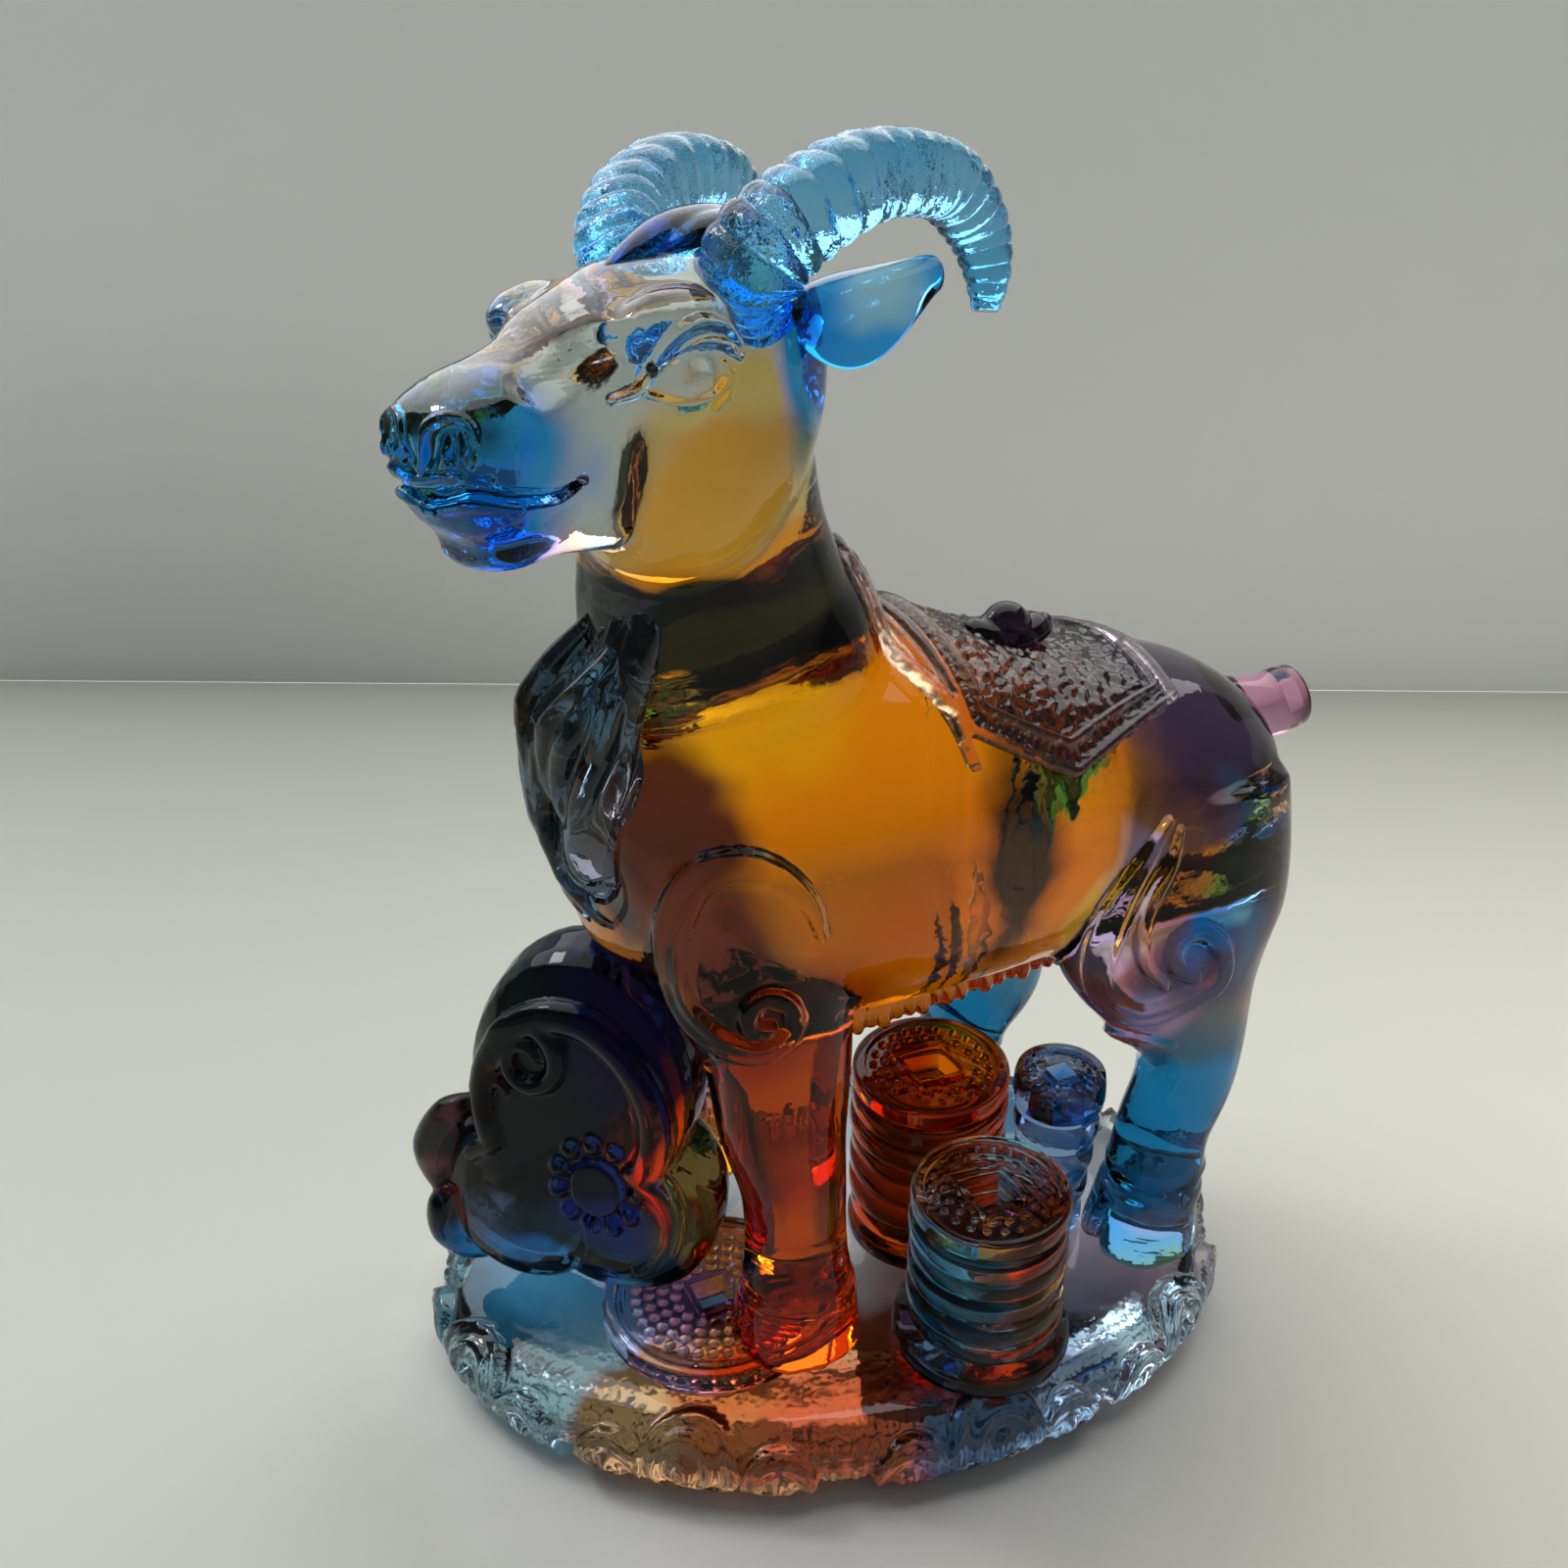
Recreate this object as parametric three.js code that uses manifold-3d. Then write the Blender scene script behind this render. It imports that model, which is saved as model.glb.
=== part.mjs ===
// Cast-glass goat figurine on a cloud base. Millimetres, Z up, table at Z = 0.
// The goat faces -X and turns its head towards -Y, which is its left side.
import * as THREE from "three";
import { mergeVertices } from "three/addons/utils/BufferGeometryUtils.js";
import Module from "manifold-3d";

const wasm = await Module();
wasm.setup();

// Driving dimensions.
const SEAT_GAP = 0.3; // space between two pieces wherever one seats on the other
const BASE_HALF_LENGTH = 57.5;
const BASE_HALF_WIDTH = 39;
const BASE_CENTRE = [-5.6, 1.5];
const BASE_TURN = THREE.MathUtils.degToRad(-15); // the base lies askew under the goat
const BASE_TOP = 13.5;
const RIM_RELIEF = 2.6; // how far the rim clouds stand out of the base
const RIM_CLOUDS = 8;
const RIM_BEAD = 1.1;
const SCROLL_THICK = 0.9; // half the thickness of the spiral on each cloud

const COIN_THICK = 3.4;
const STEP_COIN_RADIUS = 15.5;
const STEP_COIN_CENTRE = [-29, -8.5];
const TALL_STACK = { at: [6.2, -5.4], radius: 11.2, coins: 8 };
const FRONT_STACK = { radius: 10.7, coins: 7, plate: 12.4, bearing: -98 };
const REAR_STACK = { radius: 6.5, coins: 5, height: 27, bearing: -22 }; // degrees, from the tall stack

const BODY_HEIGHT = 86; // the middle line of the chest above the table
const HOOF_HEIGHT = 10.6;
const FORE_HOOF_AT = [-21.5, 19.2]; // x, and the distance out from the middle plane
const HIND_HOOF_AT = [33.6, 21];
const SPREAD = 18.3; // lower legs out from the middle plane
const HIND_STEP = [-11, -3, 0]; // the right hind leg stands this much further forward and in

const HEAD_TURN = THREE.MathUtils.degToRad(25);
const HEAD_TILT = THREE.MathUtils.degToRad(6); // its left side is carried higher
const HEAD_AT = new THREE.Vector3(-24, -5, 146);
const MANE_BELOW_HEAD = 19; // the longest lock starts this far under the head's middle
const MANE_LENGTH = 49;
const MANE_SPREAD = 5.2; // side locks out from the middle one
const BLANKET_THICK = 1.7;
const BORDER_THICK = 2.5;

const RUYI_AT = [-43, 3.5]; // the cloud head's foot
const RUYI_TURN = THREE.MathUtils.degToRad(-44);
const RUYI_LEAN = THREE.MathUtils.degToRad(-8);
const RUYI_HALF_WIDTH = 21.5;
const RUYI_HEIGHT = 54;
const RUYI_DEPTH = 14;

const FACET = 0.08; // detail finer than this is dropped from a finished piece
const OUTSIDE = 200; // cutting tools reach this far, past the whole goat

const group = new THREE.Group();
group.name = "glass_goat";
const solids = {};

// Turns a closed triangle mesh into a solid that can be joined and cut.
function solid(geometry) {
  const bare = new THREE.BufferGeometry();
  const source = geometry.index ? geometry.toNonIndexed() : geometry;
  bare.setAttribute("position", source.getAttribute("position"));
  const merged = mergeVertices(bare, 1e-4);
  return new wasm.Manifold(
    new wasm.Mesh({
      numProp: 3,
      vertProperties: merged.attributes.position.array,
      triVerts: new Uint32Array(merged.index.array),
    }),
  );
}

function geometryOf(body) {
  const mesh = body.getMesh();
  const geometry = new THREE.BufferGeometry();
  const step = mesh.numProp;
  const points = new Float32Array((mesh.vertProperties.length / step) * 3);
  for (let i = 0; i < points.length / 3; i++) {
    points.set(mesh.vertProperties.subarray(i * step, i * step + 3), i * 3);
  }
  geometry.setAttribute("position", new THREE.BufferAttribute(points, 3));
  geometry.setIndex(new THREE.BufferAttribute(mesh.triVerts, 1));
  return geometry;
}

// Keeps the largest body, so that a cut leaves no loose sliver behind.
function largest(body) {
  const bodies = body.decompose();
  return bodies.reduce((a, b) => (b.volume() > a.volume() ? b : a));
}

function cutBy(body, ...tools) {
  return tools.reduce((left, tool) => left.subtract(tool), body);
}

function joined(...bodies) {
  return bodies.reduce((a, b) => a.add(b));
}

function mirrored(body) {
  return body.mirror([0, 1, 0]);
}

function place(name, body, colour) {
  const kept = largest(body.simplify(FACET));
  const paint = new THREE.MeshStandardMaterial({ color: colour });
  const mesh = new THREE.Mesh(geometryOf(kept), paint);
  mesh.name = name;
  group.add(mesh);
  solids[name] = kept;
  return kept;
}

function superSine(value, power) {
  return Math.sign(value) * Math.abs(value) ** (2 / power);
}

// A body lofted through oval sections along a smooth spine. A row is
// [x, y, z, side, up, down]: the centre, then how far the section reaches.
// "across" points along the side reach; "ribs" swells the section in waves.
function loft(rows, across, options = {}) {
  const { grow = 0, sides = 20, rings = 14, power = 2.2, ribs = null } = options;
  const spine = new THREE.CatmullRomCurve3(
    rows.map((r) => new THREE.Vector3(r[0], r[1], r[2])),
  );
  const reach = new THREE.CatmullRomCurve3(
    rows.map((r) => new THREE.Vector3(r[3], r[4], r[5] ?? r[4])),
  );
  const points = [];
  const faces = [];
  for (let i = 0; i <= rings; i++) {
    const t = i / rings;
    const centre = spine.getPoint(t);
    const tangent = spine.getTangent(t);
    const side = across.clone().addScaledVector(tangent, -across.dot(tangent));
    side.normalize();
    const up = new THREE.Vector3().crossVectors(side, tangent);
    const size = reach.getPoint(t);
    centre.addScaledVector(tangent, grow * (2 * t - 1) ** 3);
    const swell = ribs ? 1 + ribs.depth * (i % 2 ? 1 : -1) : 1;
    for (let j = 0; j < sides; j++) {
      const angle = (j / sides) * Math.PI * 2;
      const sine = superSine(Math.sin(angle), power);
      const cosine = superSine(Math.cos(angle), power);
      const height = (sine > 0 ? size.y : size.z) * swell + grow;
      const point = centre
        .clone()
        .addScaledVector(side, cosine * (size.x * swell + grow))
        .addScaledVector(up, sine * height);
      points.push(point);
    }
  }
  for (let i = 0; i < rings; i++) {
    for (let j = 0; j < sides; j++) {
      const next = (j + 1) % sides;
      const [a, b] = [i * sides + j, (i + 1) * sides + j];
      const [c, d] = [(i + 1) * sides + next, i * sides + next];
      faces.push(a, b, c, a, c, d);
    }
  }
  const first = points.length;
  points.push(spine.getPoint(0).addScaledVector(spine.getTangent(0), -grow));
  points.push(spine.getPoint(1).addScaledVector(spine.getTangent(1), grow));
  for (let j = 0; j < sides; j++) {
    const next = (j + 1) % sides;
    faces.push(first, j, next);
    faces.push(first + 1, rings * sides + next, rings * sides + j);
  }
  const geometry = new THREE.BufferGeometry().setFromPoints(points);
  geometry.setIndex(faces);
  return solid(geometry);
}

function ellipsoid(centre, radii, turn = 0, detail = 12) {
  const ball = new THREE.SphereGeometry(1, detail, Math.round(detail * 0.6));
  ball.scale(...radii);
  ball.rotateZ(turn);
  ball.translate(...centre);
  return solid(ball);
}

function bead(centre, radius) {
  const ball = new THREE.OctahedronGeometry(radius, 0);
  ball.translate(...centre);
  return solid(ball);
}

// A plate cut to an outline in the XZ plane and reaching far out along Y.
function sidePrism(outline, near, far) {
  const shape = new THREE.Shape(outline.map(([x, z]) => new THREE.Vector2(x, z)));
  const plate = new THREE.ExtrudeGeometry(shape, {
    depth: far - near,
    bevelEnabled: false,
  });
  plate.rotateX(Math.PI / 2);
  plate.translate(0, far, 0);
  return solid(plate);
}

// Everything under a height, to cut a flat sole or foot.
function below(height) {
  const corners = [[-OUTSIDE, -OUTSIDE], [OUTSIDE, -OUTSIDE], [OUTSIDE, height], [-OUTSIDE, height]];
  return sidePrism(corners, -OUTSIDE, OUTSIDE);
}

// A round rod along a curve, thinner towards both ends.
function rod(curve, radius, { steps = 26, sides = 7, tip = 0.45 } = {}) {
  const frames = curve.computeFrenetFrames(steps, false);
  const points = [];
  const faces = [];
  for (let i = 0; i <= steps; i++) {
    const t = i / steps;
    const centre = curve.getPointAt(t);
    const taper = tip + (1 - tip) * Math.sin(Math.PI * Math.min(1, 0.08 + t)) ** 0.6;
    for (let j = 0; j < sides; j++) {
      const angle = (j / sides) * Math.PI * 2;
      const point = centre
        .clone()
        .addScaledVector(frames.normals[i], Math.cos(angle) * radius * taper)
        .addScaledVector(frames.binormals[i], Math.sin(angle) * radius * taper);
      points.push(point);
    }
  }
  for (let i = 0; i < steps; i++) {
    for (let j = 0; j < sides; j++) {
      const next = (j + 1) % sides;
      const [a, b] = [i * sides + j, (i + 1) * sides + j];
      const [c, d] = [(i + 1) * sides + next, i * sides + next];
      faces.push(a, c, b, a, d, c);
    }
  }
  const first = points.length;
  points.push(curve.getPointAt(0), curve.getPointAt(1));
  for (let j = 0; j < sides; j++) {
    const next = (j + 1) % sides;
    faces.push(first, next, j);
    faces.push(first + 1, steps * sides + j, steps * sides + next);
  }
  const geometry = new THREE.BufferGeometry().setFromPoints(points);
  geometry.setIndex(faces);
  return solid(geometry);
}

// The base: an oval plinth with eight cloud heads round its rim.
const RIM_PROFILE = [
  // height, and how far the section is drawn in from the widest outline
  [0, 4.6],
  [2.6, 1.6],
  [7, 0],
  [10.8, 2.6],
  [BASE_TOP, 11],
];

// A point of the rotated base outline, drawn in by "inset".
function outlinePoint(angle, inset) {
  const x = (BASE_HALF_LENGTH - inset) * Math.cos(angle);
  const y = (BASE_HALF_WIDTH - inset) * Math.sin(angle);
  const [cos, sin] = [Math.cos(BASE_TURN), Math.sin(BASE_TURN)];
  return [BASE_CENTRE[0] + x * cos - y * sin, BASE_CENTRE[1] + x * sin + y * cos];
}

function outlineNormal(angle) {
  const x = Math.cos(angle) / BASE_HALF_LENGTH;
  const y = Math.sin(angle) / BASE_HALF_WIDTH;
  const [cos, sin] = [Math.cos(BASE_TURN), Math.sin(BASE_TURN)];
  const length = Math.hypot(x, y);
  return [(x * cos - y * sin) / length, (x * sin + y * cos) / length];
}

// The angle that lies "fraction" of the way round the outline, by its length.
const outlineSteps = [];
for (let k = 0, length = 0; k <= 360; k++) {
  const angle = (k / 360) * Math.PI * 2;
  const here = outlinePoint(angle, 0);
  const before = outlinePoint(angle - Math.PI / 180, 0);
  if (k) length += Math.hypot(here[0] - before[0], here[1] - before[1]);
  outlineSteps.push([angle, length]);
}
const OUTLINE_LENGTH = outlineSteps[360][1];
const CLOUD_WIDTH = (OUTLINE_LENGTH / RIM_CLOUDS) * 0.86;
const SCROLL_RADIUS = CLOUD_WIDTH * 0.156;
function outlineAngle(fraction) {
  const turns = Math.floor(fraction);
  const along = (fraction - turns) * OUTLINE_LENGTH;
  return outlineSteps.find(([, length]) => length >= along)[0] + 2 * Math.PI * turns;
}

function rimInset(height) {
  const above = RIM_PROFILE.findIndex(([z]) => z >= height);
  if (above <= 0) return RIM_PROFILE[0][1];
  const [z0, in0] = RIM_PROFILE[above - 1];
  const [z1, in1] = RIM_PROFILE[above];
  return in0 + ((in1 - in0) * (height - z0)) / (z1 - z0);
}

function rimPoint(angle, height, lift) {
  const [x, y] = outlinePoint(angle, rimInset(height) - lift);
  return new THREE.Vector3(x, y, height + lift * 0.4);
}

function plinth(grow) {
  const sides = 32;
  const points = [];
  const faces = [];
  const rows = RIM_PROFILE.map(([z, inset]) => [z, inset - grow]);
  if (grow) rows.push([BASE_TOP + grow, RIM_PROFILE.at(-1)[1] - grow]);
  for (const [z, inset] of rows) {
    for (let j = 0; j < sides; j++) {
      const [x, y] = outlinePoint((j / sides) * Math.PI * 2, inset);
      points.push(new THREE.Vector3(x, y, z));
    }
  }
  const bottom = points.length;
  points.push(new THREE.Vector3(...BASE_CENTRE, 0));
  points.push(new THREE.Vector3(...BASE_CENTRE, BASE_TOP + grow));
  for (let i = 0; i + 1 < rows.length; i++) {
    for (let j = 0; j < sides; j++) {
      const next = (j + 1) % sides;
      const [a, b] = [i * sides + j, (i + 1) * sides + j];
      const [c, d] = [(i + 1) * sides + next, i * sides + next];
      faces.push(a, c, b, a, d, c);
    }
  }
  for (let j = 0; j < sides; j++) {
    const next = (j + 1) % sides;
    const top = (rows.length - 1) * sides;
    faces.push(bottom, next, j, bottom + 1, top + j, top + next);
  }
  const geometry = new THREE.BufferGeometry().setFromPoints(points);
  geometry.setIndex(faces);
  return solid(geometry);
}

// The slice of the base that one cloud keeps to, clear of the next one.
function rimSlice(from, to) {
  const spare = SEAT_GAP / BASE_HALF_WIDTH;
  const corners = [from + spare, (from + to) / 2, to - spare].map((angle) => {
    return new THREE.Vector2(...outlinePoint(angle, -BASE_HALF_LENGTH));
  });
  const shape = new THREE.Shape([new THREE.Vector2(...BASE_CENTRE), ...corners]);
  return solid(new THREE.ExtrudeGeometry(shape, { depth: 2 * BASE_TOP, bevelEnabled: false }));
}

// A cloud head on the rim: lobes cut out of a shell round the base, with a
// raised spiral on the tall lobe and beads on the low one.
function rimCloud(index, shell) {
  const middle = outlineAngle((index + 0.35) / RIM_CLOUDS);
  const from = outlineAngle((index - 0.15) / RIM_CLOUDS);
  const to = outlineAngle((index + 0.85) / RIM_CLOUDS);
  const hand = index % 2 ? 1 : -1;
  const [px, py] = outlinePoint(middle, 0);
  const [nx, ny] = outlineNormal(middle);
  const half = CLOUD_WIDTH / 2;
  const side = half * hand;
  const waist = BASE_TOP * 0.52;
  const crest = BASE_TOP * 0.9;
  const lobes = new THREE.Shape();
  lobes.moveTo(-side, 0);
  lobes.lineTo(side, 0);
  lobes.bezierCurveTo(side * 1.1, waist * 0.77, side * 0.9, waist * 1.1, side * 0.5, waist);
  lobes.bezierCurveTo(side * 0.5, crest, -side * 0.6, crest, -side * 0.5, waist);
  lobes.bezierCurveTo(-side * 0.9, waist * 1.1, -side * 1.1, waist * 0.66, -side, 0);
  const inwards = half + RIM_RELIEF;
  const plate = new THREE.ExtrudeGeometry(lobes, {
    depth: inwards + 3 * RIM_RELIEF,
    bevelEnabled: false,
    curveSegments: 2,
  });
  plate.translate(0, 0, -inwards);
  plate.rotateX(Math.PI / 2);
  plate.rotateZ(Math.atan2(ny, nx) + Math.PI / 2);
  plate.translate(px, py, 0);
  const cloud = shell.intersect(solid(plate));

  const speed = Math.hypot(
    BASE_HALF_LENGTH * Math.sin(middle),
    BASE_HALF_WIDTH * Math.cos(middle),
  );
  const arc = [];
  for (let k = 0; k <= 10; k++) {
    const t = k / 10;
    const swing = Math.PI * (-0.2 + 2.4 * t);
    const radius = SCROLL_RADIUS * (1 - 0.72 * t);
    const along = hand * radius * Math.cos(swing);
    const height = BASE_TOP * 0.53 + radius * Math.sin(swing) * 0.9;
    arc.push(rimPoint(middle + along / speed, height, RIM_RELIEF));
  }
  const curve = new THREE.CatmullRomCurve3(arc);
  const scroll = rod(curve, SCROLL_THICK, { steps: 8, sides: 3 });
  const beads = [-1, 0, 1].map((k) => {
    const along = hand * (half * 0.57 + k * RIM_BEAD);
    const height = BASE_TOP * 0.34 + k * RIM_BEAD * 1.8;
    return bead(rimPoint(middle - along / speed, height, RIM_RELIEF).toArray(), RIM_BEAD);
  });
  return joined(cloud, scroll, ...beads).intersect(rimSlice(from, to));
}

// A cash coin with a raised rim and a square hole right through. A plain coin
// inside a stack has neither and shows only its rounded edge.
function coin(radius, thick, face = true) {
  const rim = radius * 0.16;
  const edge = 0.5;
  const profile = [
    [0, 0],
    [radius - edge, 0],
    [radius, edge],
    [radius, thick - edge],
    [radius - edge, thick],
    ...(face ? [[radius - rim, thick], [radius - rim - 0.4, thick - 0.5]] : []),
    [0, face ? thick - 0.5 : thick],
  ];
  const turned = new THREE.LatheGeometry(profile.map(([x, y]) => new THREE.Vector2(x, y)), 16);
  turned.rotateX(Math.PI / 2);
  return solid(turned);
}

function beadedCoin(radius, thick, beads) {
  const side = radius * 0.42;
  const frame = new THREE.BoxGeometry(side + 1.6, side + 1.6, 0.9);
  frame.translate(0, 0, thick - 0.35);
  const hole = new THREE.BoxGeometry(side, side, thick * 3);
  let body = joined(coin(radius, thick), solid(frame));
  for (let k = 0; k < beads; k++) {
    const angle = ((k + 0.5) / beads) * Math.PI * 2;
    const [x, y] = [Math.cos(angle) * radius * 0.62, Math.sin(angle) * radius * 0.62];
    body = body.add(bead([x, y, thick - 0.5], 0.85));
  }
  return cutBy(body, solid(hole));
}

// The middle of a stack whose edge clears the tall stack by "gap".
function besideTall({ radius, bearing }, gap) {
  const away = TALL_STACK.radius + radius + gap;
  const angle = THREE.MathUtils.degToRad(bearing);
  return [TALL_STACK.at[0] + away * Math.cos(angle), TALL_STACK.at[1] + away * Math.sin(angle)];
}

// A column of coins standing on "floor". Each coin lies a little off centre,
// and the lowest one may be a wider plate.
function stack(name, { at, radius, coins, plate }, floor, colour, cutters = []) {
  const pitch = COIN_THICK + SEAT_GAP;
  for (let k = 0; k < coins; k++) {
    const top = k === coins - 1;
    const reach = k === 0 && plate ? plate : radius;
    const shift = [0.3 * Math.sin(k * 2.1), 0.3 * Math.cos(k * 1.7)];
    const body = top ? beadedCoin(reach, COIN_THICK, 10) : coin(reach, COIN_THICK, false);
    const set = body.translate([at[0] + shift[0], at[1] + shift[1], floor + k * pitch]);
    place(name + "_coin_" + (k + 1), cutBy(set, ...cutters), colour);
  }
}

// The small column behind flares towards its top and is grooved like coins.
function column({ at, radius, coins, height }, floor) {
  const pitch = height / coins;
  const profile = [new THREE.Vector2(0, 0)];
  for (let k = 0; k < coins; k++) {
    const wide = radius * (0.74 + (0.26 * k) / (coins - 1));
    profile.push(new THREE.Vector2(wide - 0.7, k * pitch));
    profile.push(new THREE.Vector2(wide, k * pitch + 1));
  }
  const top = height;
  profile.push(new THREE.Vector2(radius, top));
  profile.push(new THREE.Vector2(radius - 1.6, top));
  profile.push(new THREE.Vector2(radius - 2, top - 0.7));
  profile.push(new THREE.Vector2(0, top - 0.7));
  const turned = new THREE.LatheGeometry(profile, 12);
  turned.rotateX(Math.PI / 2);
  turned.translate(at[0], at[1], floor);
  return solid(turned);
}

// The goat's body, in sections from front to rear or from top to bottom.
const LEFTWARDS = new THREE.Vector3(0, -1, 0);
const LENGTHWISE = new THREE.Vector3(1, 0, 0);

const torsoRows = [
  [-41, 0, BODY_HEIGHT - 2, 4, 5, 5],
  [-39.5, 0, BODY_HEIGHT - 2, 12, 13, 12],
  [-35, 0, BODY_HEIGHT - 1, 18.5, 19, 18],
  [-27, 0, BODY_HEIGHT, 22.5, 23, 23],
  [-15, 0, BODY_HEIGHT, 24, 25, 26],
  [-3, 0, BODY_HEIGHT - 0.5, 24, 24.5, 27],
  [10, 0, BODY_HEIGHT - 2, 23, 21, 26],
  [22, 0, BODY_HEIGHT - 3, 22.5, 18.5, 24],
  [35, 0, BODY_HEIGHT - 5, 22.5, 17.5, 20],
  [46, 0, BODY_HEIGHT - 7, 20, 16, 17],
  [53, 0, BODY_HEIGHT - 8, 15, 12.5, 13],
  [57, 0, BODY_HEIGHT - 8.5, 8, 7.5, 7],
  [58, 0, BODY_HEIGHT - 8.5, 3, 3, 3],
];
function torso(grow) {
  return loft(torsoRows, LEFTWARDS, { grow, sides: 18, rings: 15 });
}

// The neck rises from inside the chest to the middle of the head.
const neckRoot = BODY_HEIGHT + 10;
function neckRow(x, rise, half, depth) {
  const z = neckRoot + (HEAD_AT.z - neckRoot) * rise;
  return [x, HEAD_AT.y * 1.2 * rise ** 1.5, z, half, depth];
}
const neckRows = [
  neckRow(-19, 0, 19, 17),
  neckRow(-21, 0.22, 18, 16),
  neckRow(-24, 0.42, 16, 13),
  neckRow(-26, 0.62, 14, 11.5),
  neckRow(-27, 0.82, 12.8, 10.8),
  neckRow(-27, 1, 11, 9.5),
];
function neck(grow) {
  return loft(neckRows, LENGTHWISE, { grow, sides: 16, rings: 7 });
}

// The head's own axes: ahead runs to the nose, aside to the goat's left.
const AHEAD = new THREE.Vector3(-Math.cos(HEAD_TURN), -Math.sin(HEAD_TURN), 0);
const ASIDE = new THREE.Vector3(Math.sin(HEAD_TURN), -Math.cos(HEAD_TURN), 0)
  .multiplyScalar(Math.cos(HEAD_TILT))
  .add(new THREE.Vector3(0, 0, Math.sin(HEAD_TILT)));
const CROWN = new THREE.Vector3().crossVectors(ASIDE, AHEAD).negate();
function headPoint(ahead, aside, up) {
  return HEAD_AT.clone()
    .addScaledVector(AHEAD, ahead)
    .addScaledVector(ASIDE, aside)
    .addScaledVector(CROWN, up);
}
function headRow(ahead, up, half, top, bottom) {
  return [...headPoint(ahead, 0, up).toArray(), half, top, bottom];
}

const headRows = [
  headRow(-9, 0, 5, 6, 6),
  headRow(-7, 0, 9, 10, 12),
  headRow(-1, 0, 12, 12.6, 19),
  headRow(7, 0, 12.6, 12.2, 22),
  headRow(14, 0, 12, 11.4, 20.5),
  headRow(20, 0, 10.8, 9.4, 16),
  headRow(27, -1, 9, 7.6, 11.5),
  headRow(33, -2, 9, 7.2, 10),
  headRow(37.5, -3, 7.8, 6.2, 8.5),
  headRow(39.5, -3.5, 4, 3, 4.5),
];
function head(grow) {
  const skull = loft(headRows, ASIDE.clone().negate(), { grow, sides: 14, rings: 11 });
  const brows = [-1, 1].map((hand) => {
    const at = headPoint(17, 9.4 * hand, 6).toArray();
    return ellipsoid(at, [6.5 + grow, 4.4 + grow, 4 + grow], HEAD_TURN, 8);
  });
  return joined(skull, ...brows);
}

// A leg's section at a share of the way up from its hoof to the body's middle line.
function legRow(hoofTop, rise, x, out, half, depth) {
  const foot = hoofTop + SEAT_GAP;
  return [x, -out, foot + (BODY_HEIGHT - foot) * rise, half, depth];
}

function foreLeg(grow) {
  const row = (...numbers) => legRow(foreHoofTop, ...numbers);
  const rows = [
    row(1, -25, SPREAD - 5.3, 13, 8),
    row(0.79, -24, SPREAD - 3.8, 12, 8.5),
    row(0.6, -22.5, SPREAD - 2.3, 9.6, 7.8),
    row(0.41, -22.5, SPREAD - 0.9, 8.3, 7.4),
    row(0.25, -21.5, SPREAD, 7, 6.6),
    row(0.1, -21, SPREAD, 6.7, 6.4),
    row(0, FORE_HOOF_AT[0], FORE_HOOF_AT[1], 7.4, 7),
  ];
  return loft(rows, LENGTHWISE, { grow, sides: 12, rings: 9 });
}

function hindLeg(grow) {
  const row = (...numbers) => legRow(hindHoofTop, ...numbers);
  const rows = [
    row(1, 36, SPREAD - 4.3, 17, 9),
    row(0.82, 35.5, SPREAD - 2.8, 18, 10),
    row(0.66, 35.5, SPREAD - 1.3, 17, 10),
    row(0.51, 37.5, SPREAD - 0.7, 12.5, 8.6),
    row(0.35, 40.5, SPREAD, 8, 7),
    row(0.22, 40.5, SPREAD, 7, 6.5),
    row(0.1, 37, SPREAD + 1.1, 6.6, 6.3),
    row(0, HIND_HOOF_AT[0] + 1.5, HIND_HOOF_AT[1], 7.2, 6.9),
  ];
  return loft(rows, LENGTHWISE, { grow, sides: 12, rings: 11 });
}

// A cloven hoof: wider at the sole, with a cleft cut up its front.
function hoof([x, out], sole, size, grow = 0) {
  const top = sole + HOOF_HEIGHT;
  const half = size + grow;
  const rows = [
    [x + 0.8, -out, top, half - 1.2, half - 1.4],
    [x + 0.4, -out, top - HOOF_HEIGHT * 0.5, half - 0.3, half - 0.7],
    [x, -out, sole, half + 0.6, half],
  ];
  const body = loft(rows, LENGTHWISE, { sides: 12, rings: 2 });
  const cleft = new THREE.CylinderGeometry(1, 1.3, HOOF_HEIGHT + 4, 6);
  cleft.rotateX(Math.PI / 2);
  cleft.translate(x - half - 0.4, -out, sole + HOOF_HEIGHT / 2);
  return cutBy(body, solid(cleft), below(sole));
}

const STEP_FLOOR = BASE_TOP + SEAT_GAP;
const STEP_TOP = STEP_FLOOR + COIN_THICK;
const foreHoofSole = STEP_TOP + SEAT_GAP;
const foreHoofTop = foreHoofSole + HOOF_HEIGHT;
const hindHoofSole = BASE_TOP + SEAT_GAP;
const hindHoofTop = hindHoofSole + HOOF_HEIGHT;

// Base, rim clouds and the coin the forelegs stand on.
const base = place("base_plinth", plinth(0), 0x7fb2d8);
const rimShell = cutBy(plinth(RIM_RELIEF), plinth(SEAT_GAP));
for (let k = 0; k < RIM_CLOUDS; k++) {
  const cloud = cutBy(rimCloud(k, rimShell), plinth(SEAT_GAP), below(0));
  place("rim_cloud_" + (k + 1), cloud, k < 3 || k > 6 ? 0x6fa8d6 : 0xd06a2a);
}

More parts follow.
